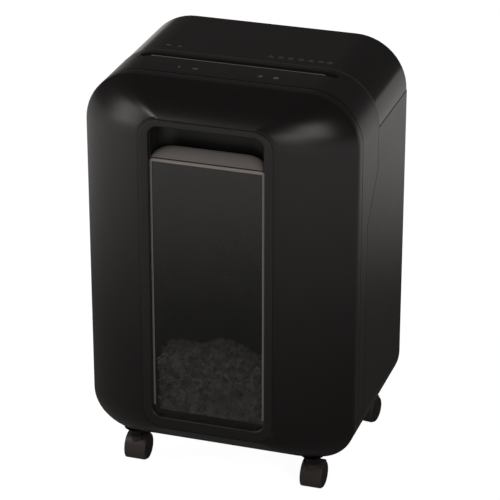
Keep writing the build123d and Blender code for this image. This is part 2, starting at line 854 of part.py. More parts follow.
def fascia_form(wall):
    """Bulging front: stacked outlines from the rim's crease to the window frame's seat."""
    steps = 4
    with BuildPart() as form:
        for step in range(steps + 1):
            turn = step / steps
            with BuildSketch(plane_at(swell(crease_y, frame_seat + wall, turn))):
                add(
                    rounded_outline(
                        draw_in(half_width, frame_half_width + frame_groove, turn) - wall,
                        draw_in(body_bottom, frame_low - frame_groove, turn) + wall,
                        draw_in(height, frame_high + frame_groove, turn) - wall,
                        draw_in(bottom_corner_radius, frame_radius + frame_groove, turn) - wall,
                        draw_in(top_corner_radius, frame_radius + frame_groove, turn) - wall,
                    )
                )
        loft(ruled=True)
        add(body_slab(wall, crease_y, fascia_rim_rear))
    return form.part


neck_slack = frame_neck_wall + part_gap
outer_form = fascia_form(0.0)
with BuildPart() as screw_bosses:
    for x, z in boss_places:
        add(rod_along_y(boss_radius, front_face, tub_front - part_gap, x, z))
    add(outer_form, mode=Mode.INTERSECT)

with BuildPart() as bin_fascia:
    add(outer_form)
    add(fascia_form(fascia_wall), mode=Mode.SUBTRACT)
    add(screw_bosses.part)
    add(upright(cup_radius, cup_low, cup_high, front_spots))
    add(upright(sleeve_radius, cup_low - 1, cup_high - skin, front_spots), mode=Mode.SUBTRACT)
    with BuildSketch(plane_at(front_face)):
        add(
            rounded_outline(
                opening_half_width + neck_slack,
                opening_low - neck_slack,
                opening_high + neck_slack,
                window_radius + neck_slack,
                window_radius + neck_slack,
            )
        )
    extrude(amount=-4 * frame_depth, mode=Mode.SUBTRACT)
    for x, z in boss_places:
        add(rod_along_y(screw_radius, tub_front - screw_length, tub_front, x, z), mode=Mode.SUBTRACT)
finish(bin_fascia.part, "bin_fascia")

with BuildPart() as window_frame:
    with BuildSketch(plane_at(front_face)):
        add(rounded_outline(frame_half_width, frame_low, frame_high, frame_radius, frame_radius))
    extrude(amount=-frame_flange)
    with BuildSketch(plane_at(frame_seat)):
        add(
            rounded_outline(
                opening_half_width + frame_neck_wall,
                opening_low - frame_neck_wall,
                opening_high + frame_neck_wall,
                window_radius + frame_neck_wall,
                window_radius + frame_neck_wall,
            )
        )
    extrude(amount=-(frame_depth - frame_flange))
    with BuildSketch(plane_at(front_face)):
        add(rounded_outline(opening_half_width, opening_low, opening_high, window_radius, window_radius))
    extrude(amount=-frame_depth, mode=Mode.SUBTRACT)
finish(window_frame.part, "window_frame")

panel_half_width = opening_half_width - part_gap
with BuildPart() as window_panel:
    with BuildSketch(plane_at(window_front)):
        add(rounded_outline(panel_half_width, opening_low + part_gap, window_high, window_radius, 1.0))
    extrude(amount=-window_thickness)
finish(window_panel.part, "window_panel")


def scoop_block(inset, front, low, high):
    """Upright block whose plan is the bow-shaped finger recess, cut off at a front line."""
    half_chord = panel_half_width - inset
    with BuildPart() as block:
        with BuildSketch(Plane.XY.offset(low)):
            with BuildLine():
                ThreePointArc(
                    (-half_chord, window_front),
                    (0, window_front + scoop_depth - inset),
                    (half_chord, window_front),
                )
                Line((half_chord, window_front), (-half_chord, window_front))
            make_face()
        extrude(amount=high - low)
        if front > window_front:
            with Locations((0, front, low)):
                Box(width, depth, 3 * height, align=(Align.CENTER, Align.MAX, Align.CENTER), mode=Mode.SUBTRACT)
    return block.part


scoop_low = window_high + part_gap
scoop_floor = scoop_low + scoop_sill
scoop_shoulder = opening_high - window_radius
scoop_high = opening_high - part_gap
scoop_top = scoop_high + scoop_lift
lip_rear = frame_rear + part_gap
with BuildPart() as handle_scoop:
    add(scoop_block(0, window_front, scoop_low, scoop_shoulder))
    add(scoop_block(0, lip_rear, scoop_low, scoop_top + scoop_wall))
    add(scoop_block(scoop_wall, window_front, scoop_floor, scoop_high), mode=Mode.SUBTRACT)
    add(scoop_block(scoop_wall, lip_rear + scoop_wall, scoop_floor, scoop_top), mode=Mode.SUBTRACT)
finish(handle_scoop.part, "handle_scoop")

with BuildPart() as bin_tub:
    with BuildSketch(plane_at(tub_front)):
        add(rounded_outline(tub_half_width, tub_low, tub_high, tub_corner, 1.0))
    extrude(amount=-(tub_rear - tub_front))
    with BuildSketch(plane_at(lip_rear)):
        add(rounded_outline(neck_half_width, neck_low, neck_high, window_radius, window_radius))
    extrude(amount=-(tub_front - lip_rear))
    with BuildSketch(plane_at(tub_front + tub_wall)):
        add(rounded_outline(tub_half_width - tub_wall, tub_low + tub_wall, 2 * height, tub_corner - tub_wall, 1.0))
    extrude(amount=-(tub_rear - tub_front - 2 * tub_wall), mode=Mode.SUBTRACT)
    with BuildSketch(plane_at(lip_rear)):
        add(
            rounded_outline(
                neck_half_width - tub_wall,
                neck_low + tub_wall,
                neck_high - tub_wall,
                window_radius - tub_wall,
                window_radius - tub_wall,
            )
        )
    extrude(amount=-(tub_front + tub_wall - lip_rear), mode=Mode.SUBTRACT)
    for x, z in boss_places:
        add(rod_along_y(screw_radius, tub_front, tub_front + tub_wall, x, z), mode=Mode.SUBTRACT)
finish(bin_tub.part, "bin_tub")

with BuildPart() as bin_screws:
    head_y = tub_front + tub_wall
    for x, z in boss_places:
        add(rod_along_y(screw_radius, head_y - screw_length, head_y, x, z))
        add(rod_along_y(screw_head_radius, head_y, head_y + screw_head_height, x, z))
finish(bin_screws.part, "bin_screws")

with BuildPart() as bin_magnet:
    magnet_limits = (tub_front + tub_wall, tub_front + tub_wall + 4.0)
    add(box_between((136.0, 146.0), magnet_limits, (tub_high - 12.0, tub_high - 2.0)))
finish(bin_magnet.part, "bin_magnet")

# ================================================================ casters
hood_inner = wheel_radius + hood_clearance
hood_outer = hood_inner + hood_wall
hood_half_width = wheel_gap + wheel_width + 0.4
hood_start = 68.0
hood_sweep = 152.0


def sector(outer, inner, start, sweep, thickness):
    """Ring sector about the caster's axle, extruded evenly to both sides along X."""
    with BuildPart() as piece:
        with BuildSketch(Plane.YZ):
            with BuildLine():
                outer_arc = CenterArc((caster_trail, axle_z), outer, start, sweep)
                inner_arc = CenterArc((caster_trail, axle_z), inner, start, sweep)
                Line(outer_arc @ 0, inner_arc @ 0)
                Line(outer_arc @ 1, inner_arc @ 1)
            make_face()
        extrude(amount=thickness / 2, both=True)
    return piece.part


def fork_form():
    """Caster body at the origin: stem, tapered neck, hood over the wheels and a web between them."""
    neck_top = cup_low - part_gap
    with BuildPart() as fork:
        with BuildSketch(Plane.XZ):
            with BuildLine():
                Polyline((0, 19.0), (3.0, 19.0), (7.8, neck_top), (0, neck_top), close=True)
            make_face()
        revolve(axis=Axis.Z)
        add(sector(hood_outer, hood_inner - 1, hood_start, hood_sweep, 2 * hood_half_width))
        wheel_room = rod_along_x(hood_inner, -hood_half_width, hood_half_width, caster_trail, axle_z)
        add(wheel_room, mode=Mode.SUBTRACT)
        add(sector(hood_inner + 0.5, 5.0, hood_start, hood_sweep, web_thickness))
        add(rod_along_x(7.0, -web_thickness / 2, web_thickness / 2, caster_trail, axle_z))
        stem_top = cup_high - 2 * skin - 2.0
        with Locations((0, 0, neck_top)):
            Cylinder(stem_radius, stem_top - neck_top, align=(Align.CENTER, Align.CENTER, Align.MIN))
        bore = caster_axle_radius + running_clearance
        add(rod_along_x(bore, -web_thickness, web_thickness, caster_trail, axle_z), mode=Mode.SUBTRACT)
    return fork.part


def wheel_form(side_sign):
    """One wheel of a pair at the origin, pressed on the common axle."""
    near = side_sign * wheel_gap
    far = side_sign * (wheel_gap + wheel_width)
    limits = sorted((near, far))
    with BuildPart() as wheel:
        add(rod_along_x(wheel_radius, *limits, caster_trail, axle_z))
        fillet(wheel.edges().filter_by(GeomType.CIRCLE), 1.6)
        add(rod_along_x(caster_axle_radius, *limits, caster_trail, axle_z), mode=Mode.SUBTRACT)
    return wheel.part


axle_half_length = wheel_gap + wheel_width - 1.0
for place, (stem_x, stem_y, turn) in caster_places.items():
    at_stem = Location((stem_x, stem_y, 0), (0, 0, turn))
    with BuildPart() as caster_fork:
        with Locations(at_stem):
            add(fork_form())
    finish(caster_fork.part, f"caster_fork_{place}")
    with BuildPart() as caster_wheels:
        with Locations(at_stem):
            add(wheel_form(-1))
            add(wheel_form(1))
    finish(caster_wheels.part, f"caster_wheels_{place}")
    with BuildPart() as caster_axle:
        with Locations(at_stem):
            add(rod_along_x(caster_axle_radius, -axle_half_length, axle_half_length, caster_trail, axle_z))
    finish(caster_axle.part, f"caster_axle_{place}")
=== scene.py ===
# %% [markdown]
# # A floor-standing paper shredder in glossy black plastic
#
# The machine is a tall rounded box on four casters. Its front is a bulging fascia that pulls out
# with the paper bin, and a smoked window in the middle shows the paper chips. This lesson builds
# what the eye meets: the moulded shells, the window, the casters and the chips, each as its own
# mesh, and gives every part inside the machine a finish of its own.
#
# The engineering model comes in first. It fixes all sizes, so every mesh below is measured from it.
# %% Load the engineering model
import math
import random

import bmesh
import bpy
from mathutils import Matrix, Vector, noise


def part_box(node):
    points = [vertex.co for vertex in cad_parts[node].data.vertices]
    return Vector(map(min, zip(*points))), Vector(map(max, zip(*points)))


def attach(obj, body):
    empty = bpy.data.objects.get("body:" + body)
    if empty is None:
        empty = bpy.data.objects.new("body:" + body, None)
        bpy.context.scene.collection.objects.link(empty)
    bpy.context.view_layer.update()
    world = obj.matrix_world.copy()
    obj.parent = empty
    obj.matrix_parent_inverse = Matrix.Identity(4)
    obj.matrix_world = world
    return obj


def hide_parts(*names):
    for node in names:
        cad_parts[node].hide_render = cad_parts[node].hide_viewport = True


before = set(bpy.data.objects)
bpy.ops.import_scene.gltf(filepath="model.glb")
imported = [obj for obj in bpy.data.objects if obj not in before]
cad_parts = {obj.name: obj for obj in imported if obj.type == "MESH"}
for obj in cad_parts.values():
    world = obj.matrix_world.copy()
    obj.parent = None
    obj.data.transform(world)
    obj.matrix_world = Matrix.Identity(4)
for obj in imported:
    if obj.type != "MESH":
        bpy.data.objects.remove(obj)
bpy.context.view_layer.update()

# %% [markdown]
# ## Measures
#
# A box drawn round a part gives its limits, but not its corner radii or its wall. Those few values
# are design values of the machine, so they are named here once, in metres.
# %% Named measures
MM = 0.001
SKIN = 2.5 * MM
TOP_CORNER = 68 * MM
BOTTOM_CORNER = 52 * MM
FASCIA_WALL = 3 * MM
FRAME_CORNER = 25 * MM
WINDOW_CORNER = 14 * MM
GROOVE = 2 * MM
RIM_LENGTH = 13 * MM
EDGE = 0.6 * MM
GAP = 0.3 * MM
FRAME_TOP_BAND = 9 * MM
MERGE_REACH = 1e-6

bezel_low, bezel_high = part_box("head_bezel")
cabinet_low, cabinet_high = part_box("cabinet_shell")
fascia_low, fascia_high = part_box("bin_fascia")
ring_low, ring_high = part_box("window_frame")
pane_low, pane_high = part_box("window_panel")
pocket_low, pocket_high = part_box("handle_scoop")
lower_low, lower_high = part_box("front_frame")
cover_low, cover_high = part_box("rear_cover")
liner_low, liner_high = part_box("slot_liner")
body_half = bezel_high.x
body_low = lower_low.z
body_high = bezel_high.z
print("body half width and height, m:", round(body_half, 4), round(body_high, 4))

# %% [markdown]
# ## From a mesh in the making to a finished piece
#
# A bmesh is a mesh in the making. When it is done it becomes an object, gets its material, and is
# tied to the body that it moves with. Sharp corners never exist on moulded plastic, so most pieces
# end with a small Bevel on every edge that turns more than a given angle, and a Weighted Normal
# keeps the large flat faces flat in the shading.
# %% Finish a piece
pieces_made = []


def finish_piece(name, bm, body, material, stands_for=(), edge=EDGE, turn=35, segments=2):
    """Turn a bmesh into an object that rides on a body; edge is its corner rounding in metres."""
    mesh = bpy.data.meshes.new(name)
    bm.to_mesh(mesh)
    bm.free()
    piece = bpy.data.objects.new(name, mesh)
    bpy.context.scene.collection.objects.link(piece)
    mesh.polygons.foreach_set("use_smooth", [True] * len(mesh.polygons))
    mesh.set_sharp_from_angle(angle=math.radians(turn))
    mesh.materials.append(material)
    if edge:
        rounding = piece.modifiers.new("corner rounding", "BEVEL")
        rounding.width = edge
        rounding.segments = segments
        rounding.limit_method = "ANGLE"
        rounding.angle_limit = math.radians(turn)
        rounding.harden_normals = False
        rounding.miter_outer = "MITER_ARC"
    flatten = piece.modifiers.new("flat faces stay flat", "WEIGHTED_NORMAL")
    flatten.keep_sharp = True
    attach(piece, body)
    if stands_for:
        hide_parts(*stands_for)
    pieces_made.append(piece)
    print(name, "faces:", len(mesh.polygons))
    return piece


def outward(bm):
    """Merge doubled vertices and point every face out of its solid."""
    bmesh.ops.remove_doubles(bm, verts=bm.verts, dist=MERGE_REACH)
    bmesh.ops.recalc_face_normals(bm, faces=bm.faces)


def add_edges(bm, points, closed=True):
    """Join points with edges and return the edges."""
    verts = [bm.verts.new(p) for p in points]
    pairs = list(zip(verts, verts[1:]))
    if closed:
        pairs.append((verts[-1], verts[0]))
    return [bm.edges.new(pair) for pair in pairs]


# %% [markdown]
# ## Rounded outlines, stacked and bridged
#
# The body's section is an upright rectangle with one radius at its two upper corners and another
# at its lower ones. A one-face grid whose corner vertices are bevelled gives exactly that. A shell
# is then a stack of such outlines along the depth, bridged one to the next. Lofting this way keeps
# the same number of points in each outline, so the bridges never twist. Where two outlines lie at
# one depth, a bridge can't tell which way it runs, so the flat band between them is filled instead.
# %% Outline and stack
CORNER_STEPS = 14
UPRIGHT = Matrix.Rotation(math.pi / 2, 4, "X")


def outline(bm, half, low, high, low_radius, high_radius, y, keep_face=False):
    """Add an upright rounded rectangle at depth y; return its edges, and its face if it is kept."""
    before_edges = set(bm.edges)
    before_faces = set(bm.faces)
    middle = (low + high) / 2
    size = Matrix.Diagonal((half, (high - low) / 2, 1, 1))
    place = Matrix.Translation((0, y, middle)) @ UPRIGHT @ size
    corners = bmesh.ops.create_grid(bm, x_segments=1, y_segments=1, size=1, matrix=place)["verts"]
    for radius, wanted in ((low_radius, False), (high_radius, True)):
        chosen = [v for v in corners if v.is_valid and (v.co.z > middle) == wanted]
        bmesh.ops.bevel(
            bm, geom=chosen, offset=radius, offset_type="OFFSET", segments=CORNER_STEPS,
            profile=0.5, affect="VERTICES", material=-1,
        )
        corners = [v for v in corners if v.is_valid]
    edges = [e for e in bm.edges if e not in before_edges]
    faces = [f for f in bm.faces if f not in before_faces]
    if keep_face:
        return edges, faces[0]
    bmesh.ops.delete(bm, geom=faces, context="FACES_ONLY")
    return edges


def body_ring(inset, y):
    """Section of the whole machine at depth y, shrunk evenly by inset."""
    return (
        body_half - inset, body_low + inset, body_high - inset,
        BOTTOM_CORNER - inset, TOP_CORNER - inset, y,
    )


def stack(rings, closed=False, cap_first=False, cap_last=False):
    """Bridge a list of outlines into one skin; closed joins the last ring back to the first."""
    bm = bmesh.new()
    loops = []
    for place, ring in enumerate(rings):
        capped = (place == 0 and cap_first) or (place == len(rings) - 1 and cap_last)
        made = outline(bm, *ring, keep_face=capped)
        loops.append(made[0] if capped else made)
    pairs = list(zip(loops, loops[1:]))
    if closed:
        pairs.append((loops[-1], loops[0]))
    for one, other in pairs:
        depths = [v.co.y for edge in one + other for v in edge.verts]
        if max(depths) - min(depths) < MERGE_REACH:
            bmesh.ops.triangle_fill(bm, edges=one + other, use_beauty=True, normal=(0, 1, 0))
        else:
            bmesh.ops.bridge_loops(bm, edges=one + other)
    outward(bm)
    return bm


# %% [markdown]
# ## Cutting one shape out of another
#
# Slots and vents cross curved faces, where their rims are hard to model by hand. A Boolean does it:
# the cutter is a second closed mesh, and the result is taken back as a bmesh, so that the
# modifiers added later see the finished rim.
# %% Carve
def carve(bm, cutter, operation="DIFFERENCE"):
    """Return bm with the cutter's volume removed (or kept, with INTERSECT)."""
    pair = []
    for label, source in (("carve work", bm), ("carve cutter", cutter)):
        mesh = bpy.data.meshes.new(label)
        source.to_mesh(mesh)
        source.free()
        holder = bpy.data.objects.new(label, mesh)
        bpy.context.scene.collection.objects.link(holder)
        pair.append(holder)
    work, tool = pair
    boolean = work.modifiers.new("cut", "BOOLEAN")
    boolean.operation = operation
    boolean.object = tool
    boolean.solver = "EXACT"
    bpy.context.view_layer.update()
    graph = bpy.context.evaluated_depsgraph_get()
    result = bpy.data.meshes.new_from_object(work.evaluated_get(graph))
    carved = bmesh.new()
    carved.from_mesh(result)
    for holder in pair:
        mesh = holder.data
        bpy.data.objects.remove(holder)
        bpy.data.meshes.remove(mesh)
    bpy.data.meshes.remove(result)
    bmesh.ops.remove_doubles(carved, verts=carved.verts, dist=MERGE_REACH)
    return carved


def block(low, high):
    """Closed box between two corners."""
    bm = bmesh.new()
    low = Vector(low)
    high = Vector(high)
    place = Matrix.Translation((low + high) / 2) @ Matrix.Diagonal((*(high - low), 1))
    bmesh.ops.create_cube(bm, size=1, matrix=place)
    return bm


def side_prism(points, reach):
    """Closed block across the width whose side view is the given (y, z) outline."""
    bm = bmesh.new()
    edges = add_edges(bm, [(-reach, y, z) for y, z in points])
    face = bmesh.ops.contextual_create(bm, geom=edges)["faces"]
    swept = bmesh.ops.extrude_face_region(bm, geom=face)
    moved = [v for v in swept["geom"] if isinstance(v, bmesh.types.BMVert)]
    bmesh.ops.translate(bm, verts=moved, vec=(2 * reach, 0, 0))
    outward(bm)
    return bm


def slot_form(half_length, half_width, steps=10):
    """Flat face with round ends lying along X, made from a grid whose corners are rounded."""
    bm = bmesh.new()
    size = Matrix.Diagonal((half_length, half_width, 1, 1))
    corners = bmesh.ops.create_grid(bm, x_segments=1, y_segments=1, size=1, matrix=size)["verts"]
    bmesh.ops.bevel(
        bm, geom=corners, offset=half_width * 0.9999, offset_type="OFFSET", segments=steps,
        profile=0.5, affect="VERTICES", material=-1,
    )
    return bm


def prism_up(bm, height):
    """Extrude every face of a flat bmesh along +Z into a closed solid."""
    swept = bmesh.ops.extrude_face_region(bm, geom=list(bm.faces))
    moved = [v for v in swept["geom"] if isinstance(v, bmesh.types.BMVert)]
    bmesh.ops.translate(bm, verts=moved, vec=(0, 0, height))
    outward(bm)
    return bm


def join(bm, other):
    """Copy another bmesh into bm."""
    mesh = bpy.data.meshes.new("joined")
    other.to_mesh(mesh)
    other.free()
    bm.from_mesh(mesh)
    bpy.data.meshes.remove(mesh)


# %% [markdown]
# ## Shared surface effects
#
# Injection-moulded plastic is never perfect: the gloss wavers a little like the skin of an orange,
# hands leave duller patches, edges are polished or scuffed, and dust settles on what faces up.
# Each effect is a small node group, built once and placed in every material that needs it. A group
# puts out only numbers; the shader itself stays in the material.
# %% Node helpers
def node(tree, kind, x, y, **values):
    """Add a node at a place in the editor and set its named properties."""
    made = tree.nodes.new(kind)
    made.location = (x, y)
    for key, value in values.items():
        setattr(made, key, value)
    return made


def group_with(name, inputs, outputs):
    """Start a node group with float or vector inputs and float outputs."""
    tree = bpy.data.node_groups.new(name, "ShaderNodeTree")
    for label, kind, default in inputs:
        socket = tree.interface.new_socket(label, in_out="INPUT", socket_type=kind)
        if default is not None:
            socket.default_value = default
    for label, kind in outputs:
        tree.interface.new_socket(label, in_out="OUTPUT", socket_type=kind)
    return tree, node(tree, "NodeGroupInput", -900, 0), node(tree, "NodeGroupOutput", 700, 0)


FLOAT = "NodeSocketFloat"
VECTOR = "NodeSocketVector"


# %% Moulded skin: orange peel, fine grain and gloss patches
def moulded_skin_group():
    """Height of a moulded skin, and a slow patchiness of its gloss."""
    tree, given, out = group_with(
        "moulded skin",
        [("Vector", VECTOR, None), ("Peel Size", FLOAT, 260.0), ("Grain Size", FLOAT, 2600.0),
         ("Grain Share", FLOAT, 0.3)],
        [("Height", FLOAT), ("Patches", FLOAT)],
    )
    peel = node(tree, "ShaderNodeTexNoise", -600, 250)
    peel.inputs["Detail"].default_value = 1.0
    grain = node(tree, "ShaderNodeTexNoise", -600, 0)
    grain.inputs["Detail"].default_value = 3.0
    patches = node(tree, "ShaderNodeTexNoise", -600, -250)
    patches.inputs["Scale"].default_value = 14.0
    patches.inputs["Detail"].default_value = 4.0
    blend = node(tree, "ShaderNodeMix", -200, 150)
    for texture in (peel, grain, patches):
        tree.links.new(given.outputs["Vector"], texture.inputs["Vector"])
    tree.links.new(given.outputs["Peel Size"], peel.inputs["Scale"])
    tree.links.new(given.outputs["Grain Size"], grain.inputs["Scale"])
    tree.links.new(given.outputs["Grain Share"], blend.inputs["Factor"])
    tree.links.new(peel.outputs["Fac"], blend.inputs["A"])
    tree.links.new(grain.outputs["Fac"], blend.inputs["B"])
    tree.links.new(blend.outputs["Result"], out.inputs["Height"])
    tree.links.new(patches.outputs["Fac"], out.inputs["Patches"])
    return tree


# %% Handling: worn edges, hairline scratches and smudges
def handling_group():
    """Masks of worn edges, of fine scratches and of smudges left by hands."""
    tree, given, out = group_with(
        "handling",
        [("Vector", VECTOR, None), ("Edge Start", FLOAT, 0.52), ("Edge Full", FLOAT, 0.62)],
        [("Edge", FLOAT), ("Scratches", FLOAT), ("Smudges", FLOAT)],
    )
    shape = node(tree, "ShaderNodeNewGeometry", -700, 350)
    edge = node(tree, "ShaderNodeMapRange", -400, 350)
    breakup = node(tree, "ShaderNodeTexNoise", -700, 100)
    breakup.inputs["Scale"].default_value = 90.0
    breakup.inputs["Detail"].default_value = 5.0
    broken = node(tree, "ShaderNodeMath", -100, 300, operation="MULTIPLY")
    stretch = node(tree, "ShaderNodeMapping", -700, -120)
    stretch.inputs["Rotation"].default_value = (0.4, 0.9, 0.3)
    stretch.inputs["Scale"].default_value = (30.0, 30.0, 1400.0)
    hair = node(tree, "ShaderNodeTexNoise", -400, -120)
    hair.inputs["Scale"].default_value = 1.0
    hair.inputs["Detail"].default_value = 2.0
    scratch = node(tree, "ShaderNodeMapRange", -100, -120)
    scratch.inputs["From Min"].default_value = 0.62
    scratch.inputs["From Max"].default_value = 0.74
    smudge = node(tree, "ShaderNodeTexNoise", -400, -400)
    smudge.inputs["Scale"].default_value = 22.0
    smudge.inputs["Detail"].default_value = 6.0
    smudge.inputs["Distortion"].default_value = 1.2
    smear = node(tree, "ShaderNodeMapRange", -100, -400)
    smear.inputs["From Min"].default_value = 0.45
    smear.inputs["From Max"].default_value = 0.7
    links = tree.links
    links.new(given.outputs["Vector"], breakup.inputs["Vector"])
    links.new(given.outputs["Vector"], stretch.inputs["Vector"])
    links.new(given.outputs["Vector"], smudge.inputs["Vector"])
    links.new(given.outputs["Edge Start"], edge.inputs["From Min"])
    links.new(given.outputs["Edge Full"], edge.inputs["From Max"])
    links.new(shape.outputs["Pointiness"], edge.inputs["Value"])
    links.new(edge.outputs["Result"], broken.inputs[0])
    links.new(breakup.outputs["Fac"], broken.inputs[1])
    links.new(stretch.outputs["Vector"], hair.inputs["Vector"])
    links.new(hair.outputs["Fac"], scratch.inputs["Value"])
    links.new(smudge.outputs["Fac"], smear.inputs["Value"])
    links.new(broken.outputs["Value"], out.inputs["Edge"])
    links.new(scratch.outputs["Result"], out.inputs["Scratches"])
    links.new(smear.outputs["Result"], out.inputs["Smudges"])
    return tree


# %% Dust that settles on faces that look up
def dust_group():
    """Mask of fine dust, thicker where the surface faces up."""
    tree, given, out = group_with(
        "settled dust", [("Vector", VECTOR, None), ("Amount", FLOAT, 0.1)], [("Dust", FLOAT)]
    )
    shape = node(tree, "ShaderNodeNewGeometry", -700, 200)
    split = node(tree, "ShaderNodeSeparateXYZ", -500, 200)
    facing = node(tree, "ShaderNodeMapRange", -300, 200)
    facing.inputs["From Min"].default_value = 0.2
    specks = node(tree, "ShaderNodeTexNoise", -700, -100)
    specks.inputs["Scale"].default_value = 900.0
    specks.inputs["Detail"].default_value = 2.0
    sparse = node(tree, "ShaderNodeMapRange", -500, -100)
    sparse.inputs["From Min"].default_value = 0.5
    sparse.inputs["From Max"].default_value = 0.75
    both = node(tree, "ShaderNodeMath", -100, 50, operation="MULTIPLY")
    scaled = node(tree, "ShaderNodeMath", 200, 50, operation="MULTIPLY")
    links = tree.links
    links.new(shape.outputs["Normal"], split.inputs["Vector"])
    links.new(split.outputs["Z"], facing.inputs["Value"])
    links.new(given.outputs["Vector"], specks.inputs["Vector"])
    links.new(specks.outputs["Fac"], sparse.inputs["Value"])
    links.new(facing.outputs["Result"], both.inputs[0])
    links.new(sparse.outputs["Result"], both.inputs[1])
    links.new(both.outputs["Value"], scaled.inputs[0])
    links.new(given.outputs["Amount"], scaled.inputs[1])
    links.new(scaled.outputs["Value"], out.inputs["Dust"])
    return tree


# %% Machined metal: fine lines along one direction
def machined_group():
    """Height of machining lines and the slow tarnish between them."""
    tree, given, out = group_with(
        "machined lines",
        [("Vector", VECTOR, None), ("Stretch", VECTOR, (30.0, 2400.0, 2400.0))],
        [("Height", FLOAT), ("Tarnish", FLOAT)],
    )
    spread = node(tree, "ShaderNodeVectorMath", -600, 150, operation="MULTIPLY")
    lines = node(tree, "ShaderNodeTexNoise", -300, 150)
    lines.inputs["Scale"].default_value = 1.0
    lines.inputs["Detail"].default_value = 4.0
    tarnish = node(tree, "ShaderNodeTexNoise", -300, -150)
    tarnish.inputs["Scale"].default_value = 35.0
    tarnish.inputs["Detail"].default_value = 6.0
    links = tree.links
    links.new(given.outputs["Vector"], spread.inputs[0])
    links.new(given.outputs["Stretch"], spread.inputs[1])
    links.new(spread.outputs["Vector"], lines.inputs["Vector"])
    links.new(given.outputs["Vector"], tarnish.inputs["Vector"])
    links.new(lines.outputs["Fac"], out.inputs["Height"])
    links.new(tarnish.outputs["Fac"], out.inputs["Tarnish"])
    return tree


moulded_skin = moulded_skin_group()
handling = handling_group()
settled_dust = dust_group()
machined_lines = machined_group()
print("effects:", [g.name for g in bpy.data.node_groups])


# %% [markdown]
# ## Finishes
#
# A plastic and a metal recipe cover the machine. Plastic: a base colour that is a touch paler on
# worn edges and under dust, a roughness that wavers with patches and smudges, and a skin height
# that feeds a Bump. Metal: tarnish that shifts the colour and the roughness, and machining lines.
# Values that are the same all over stay on the shader's own sockets.
# %% Plastic recipe
def use_group(tree, group, x, y, **values):
    """Place a node group and set its inputs."""
    made = node(tree, "ShaderNodeGroup", x, y, node_tree=group)
    for label, value in values.items():
        made.inputs[label.replace("_", " ")].default_value = value
    return made


def mix_colour(tree, x, y, factor, first, second):
    """Mix node for colours; first may be a socket or a colour."""
    mix = node(tree, "ShaderNodeMix", x, y, data_type="RGBA")
    tree.links.new(factor, mix.inputs["Factor"])
    for label, value in (("A", first), ("B", second)):
        socket = [s for s in mix.inputs if s.name == label and s.type == "RGBA"][0]
        if isinstance(value, tuple):
            socket.default_value = (*value, 1)
        else:
            tree.links.new(value, socket)
    return [s for s in mix.outputs if s.type == "RGBA"][0]


def start_material(name):
    """Material with an empty tree, its shader and its object coordinates."""
    material = bpy.data.materials.new(name)
    material.use_nodes = True
    tree = material.node_tree
    tree.nodes.clear()
    surface = node(tree, "ShaderNodeOutputMaterial", 1200, 0)
    shader = node(tree, "ShaderNodeBsdfPrincipled", 900, 0)
    tree.links.new(shader.outputs["BSDF"], surface.inputs["Surface"])
    where = node(tree, "ShaderNodeTexCoord", -1200, 0)
    return material, tree, shader, where.outputs["Object"]


def scaled_sum(tree, x, y, base, terms):
    """base plus each socket times its weight, as one socket."""
    total = None
    for number, (socket, weight) in enumerate(terms):
        step = node(tree, "ShaderNodeMath", x + 160 * number, y, operation="MULTIPLY_ADD")
        step.inputs[1].default_value = weight
        step.inputs[2].default_value = base
        tree.links.new(socket, step.inputs[0])
        if total is not None:
            tree.links.new(total, step.inputs[2])
        total = step.outputs["Value"]
    return total


def plastic(name, colour, roughness, worn, skin_height=0.02, peel=260.0, grain=2600.0, grain_share=0.3,
            patch=0.08, dust=0.06, specular=0.5, ior=1.46, edge_start=0.52, edge_full=0.62):
    """Moulded plastic: colour and worn colour, a wavering gloss, and a skin that catches light."""
    material, tree, shader, where = start_material(name)
    skin = use_group(tree, moulded_skin, -900, 200, Peel_Size=peel, Grain_Size=grain, Grain_Share=grain_share)
    touch = use_group(tree, handling, -900, -100, Edge_Start=edge_start, Edge_Full=edge_full)
    fall = use_group(tree, settled_dust, -900, -400, Amount=dust)
    for effect in (skin, touch, fall):
        tree.links.new(where, effect.inputs["Vector"])
    edged = mix_colour(tree, -300, 300, touch.outputs["Edge"], colour, worn)
    dusted = mix_colour(tree, 0, 300, fall.outputs["Dust"], edged, (0.22, 0.21, 0.2))
    tree.links.new(dusted, shader.inputs["Base Color"])
    gloss = scaled_sum(tree, -300, -100, roughness - patch / 2, [
        (skin.outputs["Patches"], patch), (touch.outputs["Smudges"], 0.4 * patch),
        (touch.outputs["Scratches"], 0.6 * patch), (fall.outputs["Dust"], 0.8),
    ])
    tree.links.new(gloss, shader.inputs["Roughness"])
    relief = node(tree, "ShaderNodeBump", 600, -300)
    relief.inputs["Strength"].default_value = 0.5
    relief.inputs["Distance"].default_value = skin_height * MM
    tree.links.new(skin.outputs["Height"], relief.inputs["Height"])
    tree.links.new(relief.outputs["Normal"], shader.inputs["Normal"])
    shader.inputs["Specular IOR Level"].default_value = specular
    shader.inputs["IOR"].default_value = ior
    return material


